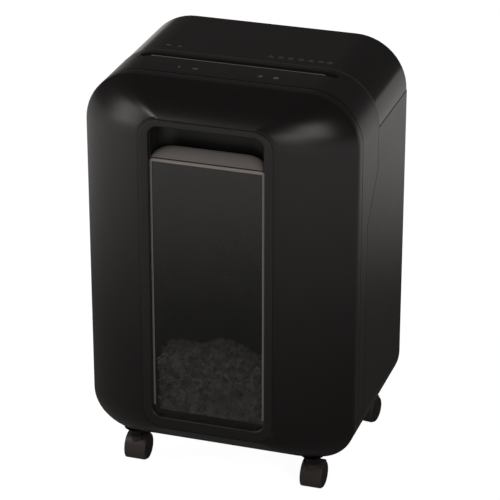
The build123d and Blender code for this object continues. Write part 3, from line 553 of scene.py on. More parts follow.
# %% Metal recipe
def metal(name, colour, tarnished, roughness, stretch, line_height=0.01, spread=0.15):
    """Bare metal with machining lines along one direction and a slow tarnish."""
    material, tree, shader, where = start_material(name)
    lines = use_group(tree, machined_lines, -900, 200, Stretch=stretch)
    touch = use_group(tree, handling, -900, -100)
    for effect in (lines, touch):
        tree.links.new(where, effect.inputs["Vector"])
    aged = mix_colour(tree, -300, 300, lines.outputs["Tarnish"], colour, tarnished)
    tree.links.new(aged, shader.inputs["Base Color"])
    gloss = scaled_sum(tree, -300, -100, roughness - spread / 2, [
        (lines.outputs["Tarnish"], spread), (touch.outputs["Smudges"], 0.1), (lines.outputs["Height"], 0.08),
    ])
    tree.links.new(gloss, shader.inputs["Roughness"])
    relief = node(tree, "ShaderNodeBump", 600, -300)
    relief.inputs["Strength"].default_value = 0.4
    relief.inputs["Distance"].default_value = line_height * MM
    tree.links.new(lines.outputs["Height"], relief.inputs["Height"])
    tree.links.new(relief.outputs["Normal"], shader.inputs["Normal"])
    shader.inputs["Metallic"].default_value = 1.0
    return material


# %% The machine's finishes
ALONG_X = (30.0, 2400.0, 2400.0)
gloss_black = plastic("gloss black shell", (0.0066, 0.0056, 0.0054), 0.3, (0.03, 0.028, 0.027), patch=0.04)
cover_black = plastic("gloss black top", (0.0062, 0.0052, 0.0049), 0.16, (0.03, 0.028, 0.027), patch=0.04)
satin_black = plastic(
    "satin black frame", (0.012, 0.0105, 0.0102), 0.36, (0.05, 0.046, 0.044), skin_height=0.05,
    grain_share=0.7, patch=0.08,
)
inner_black = plastic(
    "textured black inside", (0.011, 0.0105, 0.0105), 0.5, (0.04, 0.04, 0.04), skin_height=0.08,
    grain_share=0.8, patch=0.1, dust=0.25,
)
caster_grey = plastic(
    "caster nylon", (0.06, 0.052, 0.049), 0.42, (0.09, 0.08, 0.078), skin_height=0.06,
    grain_share=0.6, patch=0.12, dust=0.12,
)
tyre_grey = plastic(
    "caster tread", (0.034, 0.03, 0.028), 0.5, (0.05, 0.045, 0.045), skin_height=0.08,
    grain_share=0.8, patch=0.15, dust=0.2,
)
gear_nylon = plastic("white gear nylon", (0.62, 0.59, 0.5), 0.42, (0.75, 0.73, 0.66), patch=0.1, dust=0.1)
# The slot lip's pale grey is a painted highlight: the bright line along the rounded lip.
lip_painted_highlight = plastic("slot lip with painted highlight", (0.3, 0.275, 0.265), 0.3, (0.2, 0.19, 0.19), patch=0.05)
# The recess ledge's pale colour is a painted highlight: the ledge's bright crescent.
ledge_painted_highlight = plastic(
    "recess ledge with painted highlight", (0.2, 0.184, 0.175), 0.34, (0.15, 0.14, 0.14), skin_height=0.03, patch=0.05,
    specular=0.8, dust=0.05,
)
# The bead's paler grey is partly its satin tone and partly a painted highlight along it.
bead_tone_and_painted_highlight = plastic("satin bead with painted highlight", (0.045, 0.041, 0.04), 0.32, (0.08, 0.075, 0.073), patch=0.05)
print_grey = plastic("pad print", (0.6, 0.58, 0.56), 0.5, (0.2, 0.2, 0.2), skin_height=0.01, patch=0.1)
print_note = plastic("cover print", (0.32, 0.305, 0.295), 0.5, (0.1, 0.1, 0.1), skin_height=0.01, patch=0.1)
print_dark = plastic("unlit touch sign", (0.035, 0.033, 0.032), 0.4, (0.03, 0.03, 0.03), skin_height=0.01)
board_green = plastic(
    "circuit board", (0.012, 0.11, 0.035), 0.35, (0.05, 0.2, 0.09), skin_height=0.02, peel=700.0, dust=0.1,
)
part_black = plastic("moulded component", (0.02, 0.02, 0.022), 0.4, (0.06, 0.06, 0.06), dust=0.1)
steel = metal("zinc-plated steel sheet", (0.56, 0.56, 0.55), (0.42, 0.42, 0.43), 0.35, (900.0, 40.0, 40.0))
cutter_steel = metal("hardened cutter steel", (0.36, 0.36, 0.37), (0.24, 0.235, 0.24), 0.3, ALONG_X)
zinc_plate = metal("zinc-plated hardware", (0.62, 0.62, 0.58), (0.5, 0.49, 0.42), 0.3, ALONG_X)
bronze = metal("sintered bronze", (0.5, 0.34, 0.17), (0.34, 0.22, 0.12), 0.42, ALONG_X)
print("materials:", len(bpy.data.materials))


# %% [markdown]
# ## Smoked window, its edges, and paper
#
# The window is dark acrylic: most light is lost in it, and a little comes back from the chips
# behind. Full transmission through a grey base colour does that, because light is dimmed on the
# way in and again on the way out. Its cut edges at the top and sides are paler than the face:
# partly a frosted edge, partly a painted highlight along them.
# The paper is plain office paper with faint fibres, in tones that differ from chip to chip.
# %% Smoked acrylic
def smoked_acrylic():
    """Dark see-through acrylic with faint haze patches."""
    material, tree, shader, where = start_material("smoked acrylic")
    skin = use_group(tree, moulded_skin, -900, 200, Peel_Size=90.0, Grain_Size=1800.0, Grain_Share=0.1)
    touch = use_group(tree, handling, -900, -100)
    for effect in (skin, touch):
        tree.links.new(where, effect.inputs["Vector"])
    tint = mix_colour(tree, -300, 300, skin.outputs["Patches"], (0.46, 0.46, 0.44), (0.5, 0.5, 0.48))
    tree.links.new(tint, shader.inputs["Base Color"])
    haze = scaled_sum(tree, -300, -100, 0.1, [
        (skin.outputs["Patches"], 0.05), (touch.outputs["Smudges"], 0.05), (touch.outputs["Scratches"], 0.1),
    ])
    tree.links.new(haze, shader.inputs["Roughness"])
    relief = node(tree, "ShaderNodeBump", 600, -300)
    relief.inputs["Strength"].default_value = 0.1
    relief.inputs["Distance"].default_value = 0.005 * MM
    tree.links.new(skin.outputs["Height"], relief.inputs["Height"])
    tree.links.new(relief.outputs["Normal"], shader.inputs["Normal"])
    shader.inputs["Transmission Weight"].default_value = 1.0
    shader.inputs["IOR"].default_value = 1.49
    return material


def shredded_paper():
    """White office paper with fibres and tones that differ from chip to chip."""
    material, tree, shader, where = start_material("shredded paper")
    fibres = node(tree, "ShaderNodeTexNoise", -900, 200)
    fibres.inputs["Scale"].default_value = 2500.0
    fibres.inputs["Detail"].default_value = 3.0
    tones = node(tree, "ShaderNodeTexVoronoi", -900, -100)
    tones.inputs["Scale"].default_value = 150.0
    tree.links.new(where, fibres.inputs["Vector"])
    tree.links.new(where, tones.inputs["Vector"])
    split = node(tree, "ShaderNodeSeparateColor", -700, -100)
    tree.links.new(tones.outputs["Color"], split.inputs["Color"])
    toned = mix_colour(tree, -300, 200, split.outputs["Red"], (0.78, 0.77, 0.74), (0.3, 0.3, 0.3))
    tree.links.new(toned, shader.inputs["Base Color"])
    rough = scaled_sum(tree, -300, -200, 0.75, [(fibres.outputs["Fac"], 0.2)])
    tree.links.new(rough, shader.inputs["Roughness"])
    relief = node(tree, "ShaderNodeBump", 600, -300)
    relief.inputs["Strength"].default_value = 0.3
    relief.inputs["Distance"].default_value = 0.03 * MM
    tree.links.new(fibres.outputs["Fac"], relief.inputs["Height"])
    tree.links.new(relief.outputs["Normal"], shader.inputs["Normal"])
    return material


window_acrylic = smoked_acrylic()
# Pale edge colour: partly a frosted cut edge, partly a painted highlight line.
edge_frost_and_painted_highlight = plastic(
    "frosted acrylic edge with painted highlight", (0.26, 0.235, 0.225), 0.3, (0.3, 0.28, 0.27), patch=0.05, dust=0.0,
)
paper = shredded_paper()

# %% [markdown]
# ## The fascia
#
# The front is one moulding: a strip round the rim, a crease, then a face that swells forward to the
# window frame while its outline shrinks and its corners tighten. The swell leaves the rim quickly
# and arrives flat, so a straight share and a quarter sine are mixed. The same stack is repeated
# one wall thickness further in, and the two are closed at the rim and at the window hole.
# %% Fascia skin
SWELL_STEPS = 26
LINEAR_SHARE = 0.6
crease_y = fascia_high.y - RIM_LENGTH
seat_y = fascia_low.y
HOLE_MARGIN = 6 * MM


def swell(start, end, turn):
    """Value between start and end that leaves the start quickly and arrives flat."""
    share = LINEAR_SHARE * turn + (1 - LINEAR_SHARE) * math.sin(turn * math.pi / 2)
    return start + (end - start) * share


def draw_in(start, end, turn):
    """Value between start and end that leaves the start slowly."""
    share = LINEAR_SHARE * turn + (1 - LINEAR_SHARE) * (1 - math.cos(turn * math.pi / 2))
    return start + (end - start) * share


def bulge_ring(turn, wall):
    """Outline of the fascia part of the way from the crease to the window frame."""
    return (
        draw_in(body_half, ring_high.x + GROOVE, turn) - wall,
        draw_in(body_low, ring_low.z - GROOVE, turn) + wall,
        draw_in(body_high, ring_high.z + GROOVE, turn) - wall,
        draw_in(BOTTOM_CORNER, FRAME_CORNER + GROOVE, turn) - wall,
        draw_in(TOP_CORNER, FRAME_CORNER + GROOVE, turn) - wall,
        swell(crease_y, seat_y + wall, turn),
    )


def fascia_rings():
    """Outlines round the whole wall: out along the face, in at the hole, and back inside."""
    turns = [step / SWELL_STEPS for step in range(SWELL_STEPS + 1)]
    hole_half = pane_high.x + GAP + HOLE_MARGIN
    hole = (
        hole_half, pane_low.z - GAP - HOLE_MARGIN, pocket_hole_high + HOLE_MARGIN,
        WINDOW_CORNER + HOLE_MARGIN, WINDOW_CORNER + HOLE_MARGIN,
    )
    outer = [body_ring(0, fascia_high.y)]
    outer += [bulge_ring(turn, 0) for turn in turns]
    mouth = [(*hole, seat_y), (*hole, seat_y + FASCIA_WALL)]
    inner = [bulge_ring(turn, FASCIA_WALL) for turn in reversed(turns)]
    inner.append(body_ring(FASCIA_WALL, fascia_high.y))
    return outer + mouth + inner


pocket_hole_high = ring_high.z - FRAME_TOP_BAND
fascia_bm = stack(fascia_rings(), closed=True)
print("fascia outline rings bridged, faces:", len(fascia_bm.faces))

# %% [markdown]
# Under the fascia two bosses carry the front casters. Each is a profile spun about the stem: a
# hollow post whose foot flares into the fascia, so that moulding and boss look like one surface.
# Inside, six posts take the screws that hold the bin to the fascia.
# %% Caster bosses
BOSS_RADIUS = 8.5 * MM
SLEEVE_RADIUS = 6 * MM
BOSS_DROP = 12 * MM
BOSS_RISE = 14 * MM
FLARE_REACH = 7 * MM
FLARE_LOW = 8 * MM
FLARE_HIGH = 1.2 * MM
FLARE_TOP = 2.4 * MM
SCREW_HEAD_RADIUS = 3.6 * MM
POST_BORE = 1.8 * MM
POST_RADIUS = 5 * MM
POST_LENGTH = 26 * MM


def spun(profile, centre, axis="Z", steps=40):
    """Closed solid of revolution from (radius, height) points round an upright or sideways axis."""
    bm = bmesh.new()
    edges = add_edges(bm, [(r, 0, h) for r, h in profile])
    geom = edges + list(bm.verts)
    bmesh.ops.spin(
        bm, geom=geom, cent=(0, 0, 0), axis=(0, 0, 1), angle=2 * math.pi, steps=steps,
        use_merge=True, use_normal_flip=False, use_duplicate=False,
    )
    outward(bm)
    on_axis = [e for e in bm.edges if not e.link_faces]
    bmesh.ops.delete(bm, geom=on_axis, context="EDGES")
    if axis == "X":
        bmesh.ops.rotate(bm, verts=bm.verts, cent=(0, 0, 0), matrix=Matrix.Rotation(math.pi / 2, 3, "Y"))
    if axis == "Y":
        bmesh.ops.rotate(bm, verts=bm.verts, cent=(0, 0, 0), matrix=Matrix.Rotation(-math.pi / 2, 3, "X"))
    bmesh.ops.translate(bm, verts=bm.verts, vec=centre)
    return bm


def flare(radius, reach, low, high, steps=8):
    """Quarter-round profile from a post out to a wider foot above it."""
    points = []
    for step in range(steps + 1):
        turn = step / steps * math.pi / 2
        points.append((radius + reach * (1 - math.cos(turn)), low + (high - low) * math.sin(turn)))
    return points


def caster_boss(x, y):
    """Hollow boss under the body, flared where it meets the skin."""
    post_low = body_low - BOSS_DROP
    post_high = body_low + BOSS_RISE
    profile = [(SLEEVE_RADIUS, post_low), (BOSS_RADIUS, post_low)]
    profile += flare(BOSS_RADIUS, FLARE_REACH, body_low - FLARE_LOW, body_low + FLARE_HIGH)
    profile += [(BOSS_RADIUS, body_low + FLARE_TOP), (BOSS_RADIUS, post_high), (0, post_high)]
    profile += [(0, post_high - SKIN), (SLEEVE_RADIUS, post_high - SKIN)]
    return spun(profile, (x, y, 0))


def stem_place(place):
    """Where a caster's stem stands, from its sleeve in the model."""
    low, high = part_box("caster_sleeves_front" if place.startswith("front") else "caster_sleeves_rear")
    x = (high.x - SLEEVE_RADIUS) * (1 if place.endswith("right") else -1)
    return x, (low.y + high.y) / 2


PLACES = ("front_left", "front_right", "rear_left", "rear_right")
for place in PLACES[:2]:
    boss = caster_boss(*stem_place(place))
    everything = list(boss.verts) + list(boss.edges) + list(boss.faces)
    bmesh.ops.bisect_plane(
        boss, geom=everything, plane_co=(0, fascia_high.y, 0), plane_no=(0, 1, 0), clear_outer=True,
    )
    bmesh.ops.holes_fill(boss, edges=[e for e in boss.edges if e.is_boundary], sides=0)
    outward(boss)
    join(fascia_bm, boss)
screw_low, screw_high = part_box("bin_screws")
post_x = screw_high.x - SCREW_HEAD_RADIUS
lowest = screw_low.z + SCREW_HEAD_RADIUS
highest = screw_high.z - SCREW_HEAD_RADIUS
for x in (-post_x, post_x):
    for z in (lowest, (screw_low.z + screw_high.z) / 2, highest):
        post = [
            (POST_BORE, -GAP), (POST_RADIUS, -GAP), (POST_RADIUS, -POST_LENGTH), (POST_BORE, -POST_LENGTH),
        ]
        join(fascia_bm, spun(post, (x, crease_y, z), axis="Y", steps=20))
finish_piece(
    "bin_fascia_shell", fascia_bm, "bin", gloss_black, ["bin_fascia"],
    edge=1.1 * MM, turn=38, segments=3,
)

# %% [markdown]
# ## Window frame and window
#
# The satin frame is a ring whose section runs over a flat front, rounds into the window opening
# and goes back as a neck. Rings of different outlines, bridged in a closed loop, give that
# section. The window is a plate with a chamfer all round: its face is clear and smoked. The
# chamfer along the top and sides is paler, partly as a frosted edge and partly as a painted
# highlight, which is why it reads as a fine pale line; the bottom run keeps the smoked finish.
# %% Frame ring
ROUND_STEPS = 5
opening_half = pane_high.x + GAP
opening_low = pane_low.z - GAP
opening_high = pocket_hole_high
front_y = ring_low.y


def opening_ring(grow, y):
    """Outline of the window opening, grown evenly."""
    return (
        opening_half + grow, opening_low - grow, opening_high + grow,
        WINDOW_CORNER + grow, WINDOW_CORNER + grow, y,
    )


def frame_ring(shrink, y):
    """Outline of the window frame's outer edge, shrunk evenly."""
    return (
        ring_high.x - shrink, ring_low.z + shrink, ring_high.z - shrink,
        FRAME_CORNER - shrink, FRAME_CORNER - shrink, y,
    )


def rounded_edge(ring, radius, y):
    """Outlines that turn a quarter round from the edge of an opening to the front face."""
    made = []
    for step in range(ROUND_STEPS + 1):
        turn = step / ROUND_STEPS * math.pi / 2
        made.append(ring(radius * (1 - math.sin(turn)), y + radius * (1 - math.cos(turn))))
    return made


OUTER_ROUND = 1.2 * MM
INNER_ROUND = 2.2 * MM
NECK_WALL = 5.7 * MM
outer_round = rounded_edge(frame_ring, OUTER_ROUND, front_y)
inner_round = rounded_edge(opening_ring, INNER_ROUND, front_y)
frame_rings = list(reversed(outer_round)) + inner_round
frame_rings += [opening_ring(0, ring_high.y), opening_ring(NECK_WALL, ring_high.y)]
frame_rings += [opening_ring(NECK_WALL, seat_y), frame_ring(0, seat_y)]
finish_piece(
    "window_frame_ring", stack(frame_rings, closed=True), "bin", satin_black, ["window_frame"],
    edge=0.25 * MM,
)

# %% Window pane
CHAMFER_WIDTH = 3.2 * MM
CHAMFER_DEPTH = 1.3 * MM


def pane_ring(shrink, y):
    """Outline of the window pane, shrunk evenly."""
    return (pane_high.x - shrink, pane_low.z + shrink, pane_high.z - shrink, WINDOW_CORNER - shrink,
            3.5 * MM - shrink, y)


pane_bm = stack(
    [
        pane_ring(CHAMFER_WIDTH, pane_low.y), pane_ring(0, pane_low.y + CHAMFER_DEPTH),
        pane_ring(0, pane_high.y),
    ],
    cap_first=True, cap_last=True,
)
pane = finish_piece(
    "window_pane", pane_bm, "bin", window_acrylic, ["window_panel"], edge=0, turn=30,
)
# Top and side edge faces get the pale colour, partly frosted and partly a painted highlight; the bottom edge
# keeps the smoked finish.
pane.data.materials.append(edge_frost_and_painted_highlight)
frosted = 0
for polygon in pane.data.polygons:
    slanted = abs(polygon.normal.y) < 0.97
    near_floor = polygon.center.z < pane_low.z + WINDOW_CORNER
    if slanted and not near_floor:
        polygon.material_index = 1
        frosted += 1
print("frosted edge faces:", frosted)

# %% [markdown]
# ## The finger recess
#
# Above the window the hand reaches into a pocket: straight in front, with two well rounded corners
# behind. Its floor rises to a rounded ledge and falls away again behind it, where the fingers hook
# over. The floor is a fine grid whose rows are drawn in at the corners. Its edge is extruded up as
# the wall, the top is closed with one face, and a solidify step gives the sheet its thickness. The
# ledge's upward faces are paler than the rest: a painted highlight, the bright crescent of the ledge.
# %% Pocket sheet
LEDGE_RISE = 10 * MM
LEDGE_SHARE = 0.56
POCKET_WALL = 1.6 * MM
POCKET_CORNER = 27 * MM
POCKET_COLUMNS = 64
POCKET_ROWS = 25
pocket_front = pane_low.y
pocket_half = pane_high.x - POCKET_WALL
pocket_rear = pocket_high.y - POCKET_WALL
floor_z = pocket_low.z + 2 * MM


def corner_share(x):
    """1 along the pocket's middle, falling as a quarter circle to 0 at its two ends."""
    over = max(0.0, abs(x) - (pocket_half - POCKET_CORNER)) / POCKET_CORNER
    return math.sqrt(max(0.0, 1 - over ** 2))


def pocket_reach(x):
    """How far back the pocket goes at x, less in its rounded corners."""
    return pocket_rear - POCKET_CORNER * (1 - corner_share(x))


pocket_bm = bmesh.new()
pocket_place = Matrix.Translation((0, (pocket_front + pocket_rear) / 2, floor_z)) @ Matrix.Diagonal(
    (pocket_half, (pocket_rear - pocket_front) / 2, 1, 1)
)
bmesh.ops.create_grid(
    pocket_bm, x_segments=POCKET_COLUMNS, y_segments=POCKET_ROWS, size=1, matrix=pocket_place,
)
full_depth = pocket_rear - pocket_front
for vert in pocket_bm.verts:
    share = (vert.co.y - pocket_front) / full_depth
    vert.co.y = pocket_front + share * (pocket_reach(vert.co.x) - pocket_front)
    crest = LEDGE_RISE * corner_share(vert.co.x)
    if share <= LEDGE_SHARE:
        vert.co.z += crest * math.sin(math.pi / 2 * share / LEDGE_SHARE)
    else:
        vert.co.z += crest * (1 - (share - LEDGE_SHARE) / (1 - LEDGE_SHARE))
open_front = pocket_front + 0.01 * MM
wall_foot = [e for e in pocket_bm.edges if e.is_boundary and max(v.co.y for v in e.verts) > open_front]
wall = bmesh.ops.extrude_edge_only(pocket_bm, edges=wall_foot)["geom"]
wall_top = [v for v in wall if isinstance(v, bmesh.types.BMVert)]
for vert in wall_top:
    vert.co.z = pocket_high.z - POCKET_WALL
ceiling = [e for e in wall if isinstance(e, bmesh.types.BMEdge) and all(v in wall_top for v in e.verts)]
bmesh.ops.contextual_create(pocket_bm, geom=ceiling)
bmesh.ops.recalc_face_normals(pocket_bm, faces=pocket_bm.faces)
roof = max(pocket_bm.faces, key=lambda f: f.calc_center_median().z)
if roof.normal.z > 0:
    bmesh.ops.reverse_faces(pocket_bm, faces=pocket_bm.faces)
bmesh.ops.solidify(pocket_bm, geom=list(pocket_bm.faces), thickness=POCKET_WALL)
outward(pocket_bm)
pocket = finish_piece(
    "finger_recess_pocket", pocket_bm, "bin", inner_black, ["handle_scoop"],
    edge=0, turn=40,
)
# Upward faces of the ledge take the pale painted highlight; the rest keeps the inside black.
pocket.data.materials.append(ledge_painted_highlight)
for polygon in pocket.data.polygons:
    ledge_reach = LEDGE_SHARE * (pocket_reach(polygon.center.x) - pocket_front)
    on_ledge = polygon.center.y < pocket_front + ledge_reach
    low_down = polygon.center.z < floor_z + LEDGE_RISE + 0.2 * MM
    if polygon.normal.z > 0.3 and on_ledge and low_down:
        polygon.material_index = 1

# %% [markdown]
# ## Body shells
#
# Behind the fascia the machine's outline runs straight back, so each shell is a short stack:
# outline at the front, outlines that round into the rear wall, and the same again one wall
# thickness in. Blocks carved from it leave the part's own share: the lower front frame, the head
# bezel with its slanted legs, the cabinet, the bead and the rear cover. The bezel is drawn a tenth
# of a millimetre small, so that the printed signs on it stay within the machine's height.
# %% Shell stack
REAR_ROUND = 5 * MM
SEAM = 0.5 * MM
REACH = 0.3
slant_low = 360 * MM
slant_high = 420 * MM
leg_rear = lower_high.y
band_rear = bezel_high.y


def shell(front, rear, inset=0.0, rear_radius=REAR_ROUND):
    """Box-like shell, open in front and closed behind, with a rounded rear edge."""
    outer = [body_ring(inset, front)]
    inner = [body_ring(inset + SKIN, front)]
    for step in range(ROUND_STEPS + 1):
        turn = step / ROUND_STEPS * math.pi / 2
        outer.append(
            body_ring(inset + rear_radius * (1 - math.cos(turn)), rear - rear_radius * (1 - math.sin(turn)))
        )
    inner.append(body_ring(inset + SKIN, rear - SKIN))
    bm = stack(list(reversed(outer)) + inner, cap_first=True, cap_last=True)
    return bm


def sleeve(front, rear, inset=0.0):
    """Straight shell, open at both ends."""
    rings = [body_ring(inset, front), body_ring(inset, rear), body_ring(inset + SKIN, rear),
             body_ring(inset + SKIN, front)]
    return stack(rings, closed=True)


# %% Lower front frame
frame_bm = carve(
    sleeve(lower_low.y, lower_high.y),
    block((-REACH, -REACH, lower_high.z), (REACH, REACH, body_high + SKIN)),
)
finish_piece("front_frame_shell", frame_bm, "cabinet", gloss_black, ["front_frame"],
             edge=0.8 * MM, segments=3)

# %% Cabinet
cabinet_bm = shell(cabinet_low.y, cabinet_high.y)
above = side_prism(
    [
        (cabinet_low.y - SKIN, slant_low), (cabinet_low.y, slant_low), (band_rear + SEAM, slant_high),
        (band_rear + SEAM, cabinet_high.z), (cabinet_high.y + SKIN, cabinet_high.z),
        (cabinet_high.y + SKIN, body_high + SKIN), (cabinet_low.y - SKIN, body_high + SKIN),
    ],
    REACH,
)
cabinet_bm = carve(cabinet_bm, above)
for fitting in ("power_inlet", "switch_housing"):
    low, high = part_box(fitting)
    room = Vector((GAP / 2, 2 * SKIN, GAP / 2))
    hole = block(low - room, high + room)
    cabinet_bm = carve(cabinet_bm, hole)
for place in PLACES[2:]:
    join(cabinet_bm, caster_boss(*stem_place(place)))
finish_piece("cabinet_rear_shell", cabinet_bm, "cabinet", gloss_black, ["cabinet_shell"],
             edge=0.8 * MM, segments=3)

# %% Rear cover with its vents
VENT_COUNT = 9
VENT_PITCH = 9 * MM
VENT_X = 60 * MM
VENT_Z = 508 * MM
VENT_HALF_HEIGHT = 16 * MM
VENT_HALF_WIDTH = 2 * MM
VENT_CUT = 10 * MM
cover_bm = shell(cover_low.y, cover_high.y, inset=body_high - cover_high.z)
cover_bm = carve(cover_bm, block((-REACH, -REACH, 0), (REACH, REACH, cover_low.z)))
vents = bmesh.new()
for number in range(VENT_COUNT):
    vent = prism_up(slot_form(VENT_HALF_HEIGHT, VENT_HALF_WIDTH, steps=5), VENT_CUT)
    bmesh.ops.transform(vent, verts=vent.verts, matrix=UPRIGHT @ Matrix.Rotation(math.pi / 2, 4, "Z"))
    x = VENT_X + VENT_PITCH * (number - (VENT_COUNT - 1) / 2)
    bmesh.ops.translate(vent, verts=vent.verts, vec=(x, cover_high.y + VENT_CUT / 2, VENT_Z))
    join(vents, vent)
cover_bm = carve(cover_bm, vents)
finish_piece("rear_cover_shell", cover_bm, "cabinet", cover_black, ["rear_cover"],
             edge=0.6 * MM, segments=3)

# %% Head bezel with the paper slot
SLOT_HALF = 130 * MM
SLOT_FRONT = -21 * MM
SLOT_REAR = -5 * MM
slot_y = (SLOT_FRONT + SLOT_REAR) / 2
SLOT_CUT = 14 * MM
SIGN_ROOM = 0.1 * MM
DOORWAY_TOP = 431.7 * MM
bezel_rings = [
    body_ring(SIGN_ROOM, bezel_low.y), body_ring(SIGN_ROOM, band_rear), body_ring(SKIN, band_rear),
    body_ring(SKIN, bezel_low.y + SKIN),
]
bezel_bm = stack(bezel_rings, cap_first=True, cap_last=True)
beneath = side_prism(
    [
        (bezel_low.y - SKIN, body_low - SKIN), (bezel_low.y - SKIN, bezel_low.z), (leg_rear, bezel_low.z),
        (leg_rear, slant_low), (band_rear, slant_high), (band_rear + SKIN, slant_high),
        (band_rear + SKIN, body_low - SKIN),
    ],
    REACH,
)
bezel_bm = carve(bezel_bm, beneath)
doorway = block(
    (SKIN - body_half, bezel_low.y - SKIN, body_low),
    (body_half - SKIN, bezel_low.y + 1.5 * SKIN, DOORWAY_TOP),
)
bezel_bm = carve(bezel_bm, doorway)
slot_bm = prism_up(slot_form(SLOT_HALF, (SLOT_REAR - SLOT_FRONT) / 2), SLOT_CUT + 6 * MM)
bmesh.ops.translate(slot_bm, verts=slot_bm.verts, vec=(0, slot_y, body_high - SLOT_CUT))
bezel_bm = carve(bezel_bm, slot_bm)
finish_piece("head_bezel_shell", bezel_bm, "cabinet", gloss_black, ["head_bezel"],
             edge=0.8 * MM, segments=3)

# %% Bead between bezel and cover
bead_low, bead_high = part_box("cover_bead")
bead_bm = carve(
    sleeve(bead_low.y, bead_high.y),
    block((-REACH, -REACH, 0), (REACH, REACH, bead_low.z)),
)
# Its paler grey is partly the bead's satin tone and partly a painted highlight.
finish_piece("cover_bead_strip", bead_bm, "cabinet", bead_tone_and_painted_highlight, ["cover_bead"],
             edge=1.1 * MM, segments=4)

# %% [markdown]
# ## The paper slot's liner
#
# A dark cup lines the slot, with a narrow slit in its floor for the sheets, and a rounded lip runs
# along its front edge between the two end bays; the lip's pale grey is a painted highlight. The cup
# is a slot-shaped block with its inside and its slit carved out, trimmed to the body's rounded
# outline at its ends.
# %% Liner and lip
LINER_WALL = 1.6 * MM
SLIT_HALF = 115 * MM
SLIT_WIDTH = 8 * MM
LIP_HALF = 113 * MM
LIP_DEPTH = 4.2 * MM
LIP_HEIGHT = 6 * MM
half_slot = (liner_high.y - liner_low.y) / 2
cup_bm = prism_up(slot_form(liner_high.x, half_slot, steps=12), liner_high.z - liner_low.z)
bmesh.ops.translate(cup_bm, verts=cup_bm.verts, vec=(0, slot_y, liner_low.z))
hollow = prism_up(slot_form(liner_high.x - LINER_WALL, half_slot - LINER_WALL, steps=12), 20 * MM)
bmesh.ops.translate(hollow, verts=hollow.verts, vec=(0, slot_y, liner_low.z + LINER_WALL))
slit = block(
    (-SLIT_HALF, slot_y - SLIT_WIDTH / 2, liner_low.z - 1 * MM),
    (SLIT_HALF, slot_y + SLIT_WIDTH / 2, liner_low.z + 3 * MM),
)
cup_bm = carve(carve(cup_bm, hollow), slit)
crown = stack([body_ring(0.1 * MM, SLOT_FRONT - 5 * MM), body_ring(0.1 * MM, SLOT_REAR + 5 * MM)],
              cap_first=True, cap_last=True)
cup_bm = carve(cup_bm, crown, "INTERSECT")
finish_piece("slot_liner_cup", cup_bm, "cabinet", inner_black, ["slot_liner"], edge=0.3 * MM)

lip_low_y = liner_low.y + GAP
lip_bm = prism_up(slot_form(LIP_HALF, LIP_DEPTH / 2, steps=8), LIP_HEIGHT)
bmesh.ops.translate(
    lip_bm, verts=lip_bm.verts, vec=(0, lip_low_y + LIP_DEPTH / 2, body_high - LIP_HEIGHT - 0.05 * MM)
)
# The lip's pale grey finish is a painted highlight along the slot's front edge.
finish_piece(
    "slot_front_lip", lip_bm, "cabinet", lip_painted_highlight, edge=1.4 * MM, segments=5,
)

# %% [markdown]
# ## Printed signs
#
# Touch signs lie in front of the slot and small printed notes behind it. They are plain pictograms
# made of bars, rings and chevrons, and hold no letters. On the real machine they are ink, so each
# is a small plate sunk in the skin that stands out by only a few hundredths of a millimetre.
# %% Sign shapes
INK = 0.06 * MM
INK_SUNK = 0.3 * MM


def bar(bm, centre, size, turn=0.0):
    """A small flat bar of ink; centre and size on the sign's own plane."""
    place = Matrix.Translation((centre[0], centre[1], 0)) @ Matrix.Rotation(turn, 4, "Z")
    bmesh.ops.create_cube(bm, size=1, matrix=place @ Matrix.Diagonal((size[0], size[1], 1, 1)))


def ring(bm, centre, radius, line, steps=20):
    """A flat ring of ink, as a square-section torus."""
    sides = []
    for step in range(steps):
        angle = 2 * math.pi * step / steps
        way = Vector((math.cos(angle), math.sin(angle), 0))
        middle = Vector((centre[0], centre[1], 0))
        corners = [(radius - line, -0.5), (radius, -0.5), (radius, 0.5), (radius - line, 0.5)]
        sides.append([
            bm.verts.new(middle + way * reach + Vector((0, 0, level))) for reach, level in corners
        ])
    for step in range(steps):
        near = sides[step]
        far = sides[(step + 1) % steps]
        for corner in range(4):
            other = (corner + 1) % 4
            bm.faces.new((near[corner], far[corner], far[other], near[other]))


def chevron(bm, x, way, size):
    """One arrowhead pointing along way (+1 or -1)."""
    for side in (-1, 1):
        bar(bm, (x, side * size * 0.33), (size, size * 0.24), -way * side * math.radians(40))


def power_sign(bm):
    bar(bm, (0, 0), (0.9 * MM, 6.5 * MM))


def eye_sign(bm):
    ring(bm, (0, 0), 1.7 * MM, 0.7 * MM)
    for turn in (math.radians(-35), math.radians(35)):
        x = math.sin(turn) * 4 * MM
        bar(bm, (x, 1.8 * MM), (2.6 * MM, 0.7 * MM), -turn)
        bar(bm, (x, -1.8 * MM), (2.6 * MM, 0.7 * MM), turn)


def back_sign(bm):
    for x in (-5.5, 0, 5.5):
        chevron(bm, x * MM, -1, 6 * MM)


def forward_sign(bm):
    chevron(bm, 0, 1, 7 * MM)


def bin_sign(bm):
    for x in (-1.6, 1.6):
        bar(bm, (x * MM, 0), (0.7 * MM, 5.2 * MM))
    for y in (-2.6, 2.6):
        bar(bm, (0, y * MM), (3.9 * MM, 0.7 * MM))


def sheet_sign(bm):
    for y in (-1.9, 0, 1.9):
        bar(bm, (0, y * MM), (5 * MM, 0.7 * MM))
    for x in (-2.5, 2.5):
        bar(bm, (x * MM, 0), (0.7 * MM, 4.5 * MM))


def barred_ring(bm):
    ring(bm, (0, 0), 3.4 * MM, 0.6 * MM)
    bar(bm, (0, 0), (6.2 * MM, 0.6 * MM), math.radians(-45))
    bar(bm, (0, 0), (3 * MM, 1.2 * MM))


def note_sign(bm):
    for y in (-1.5, 0, 1.5):
        bar(bm, (0, y * MM), (6 * MM, 0.6 * MM))


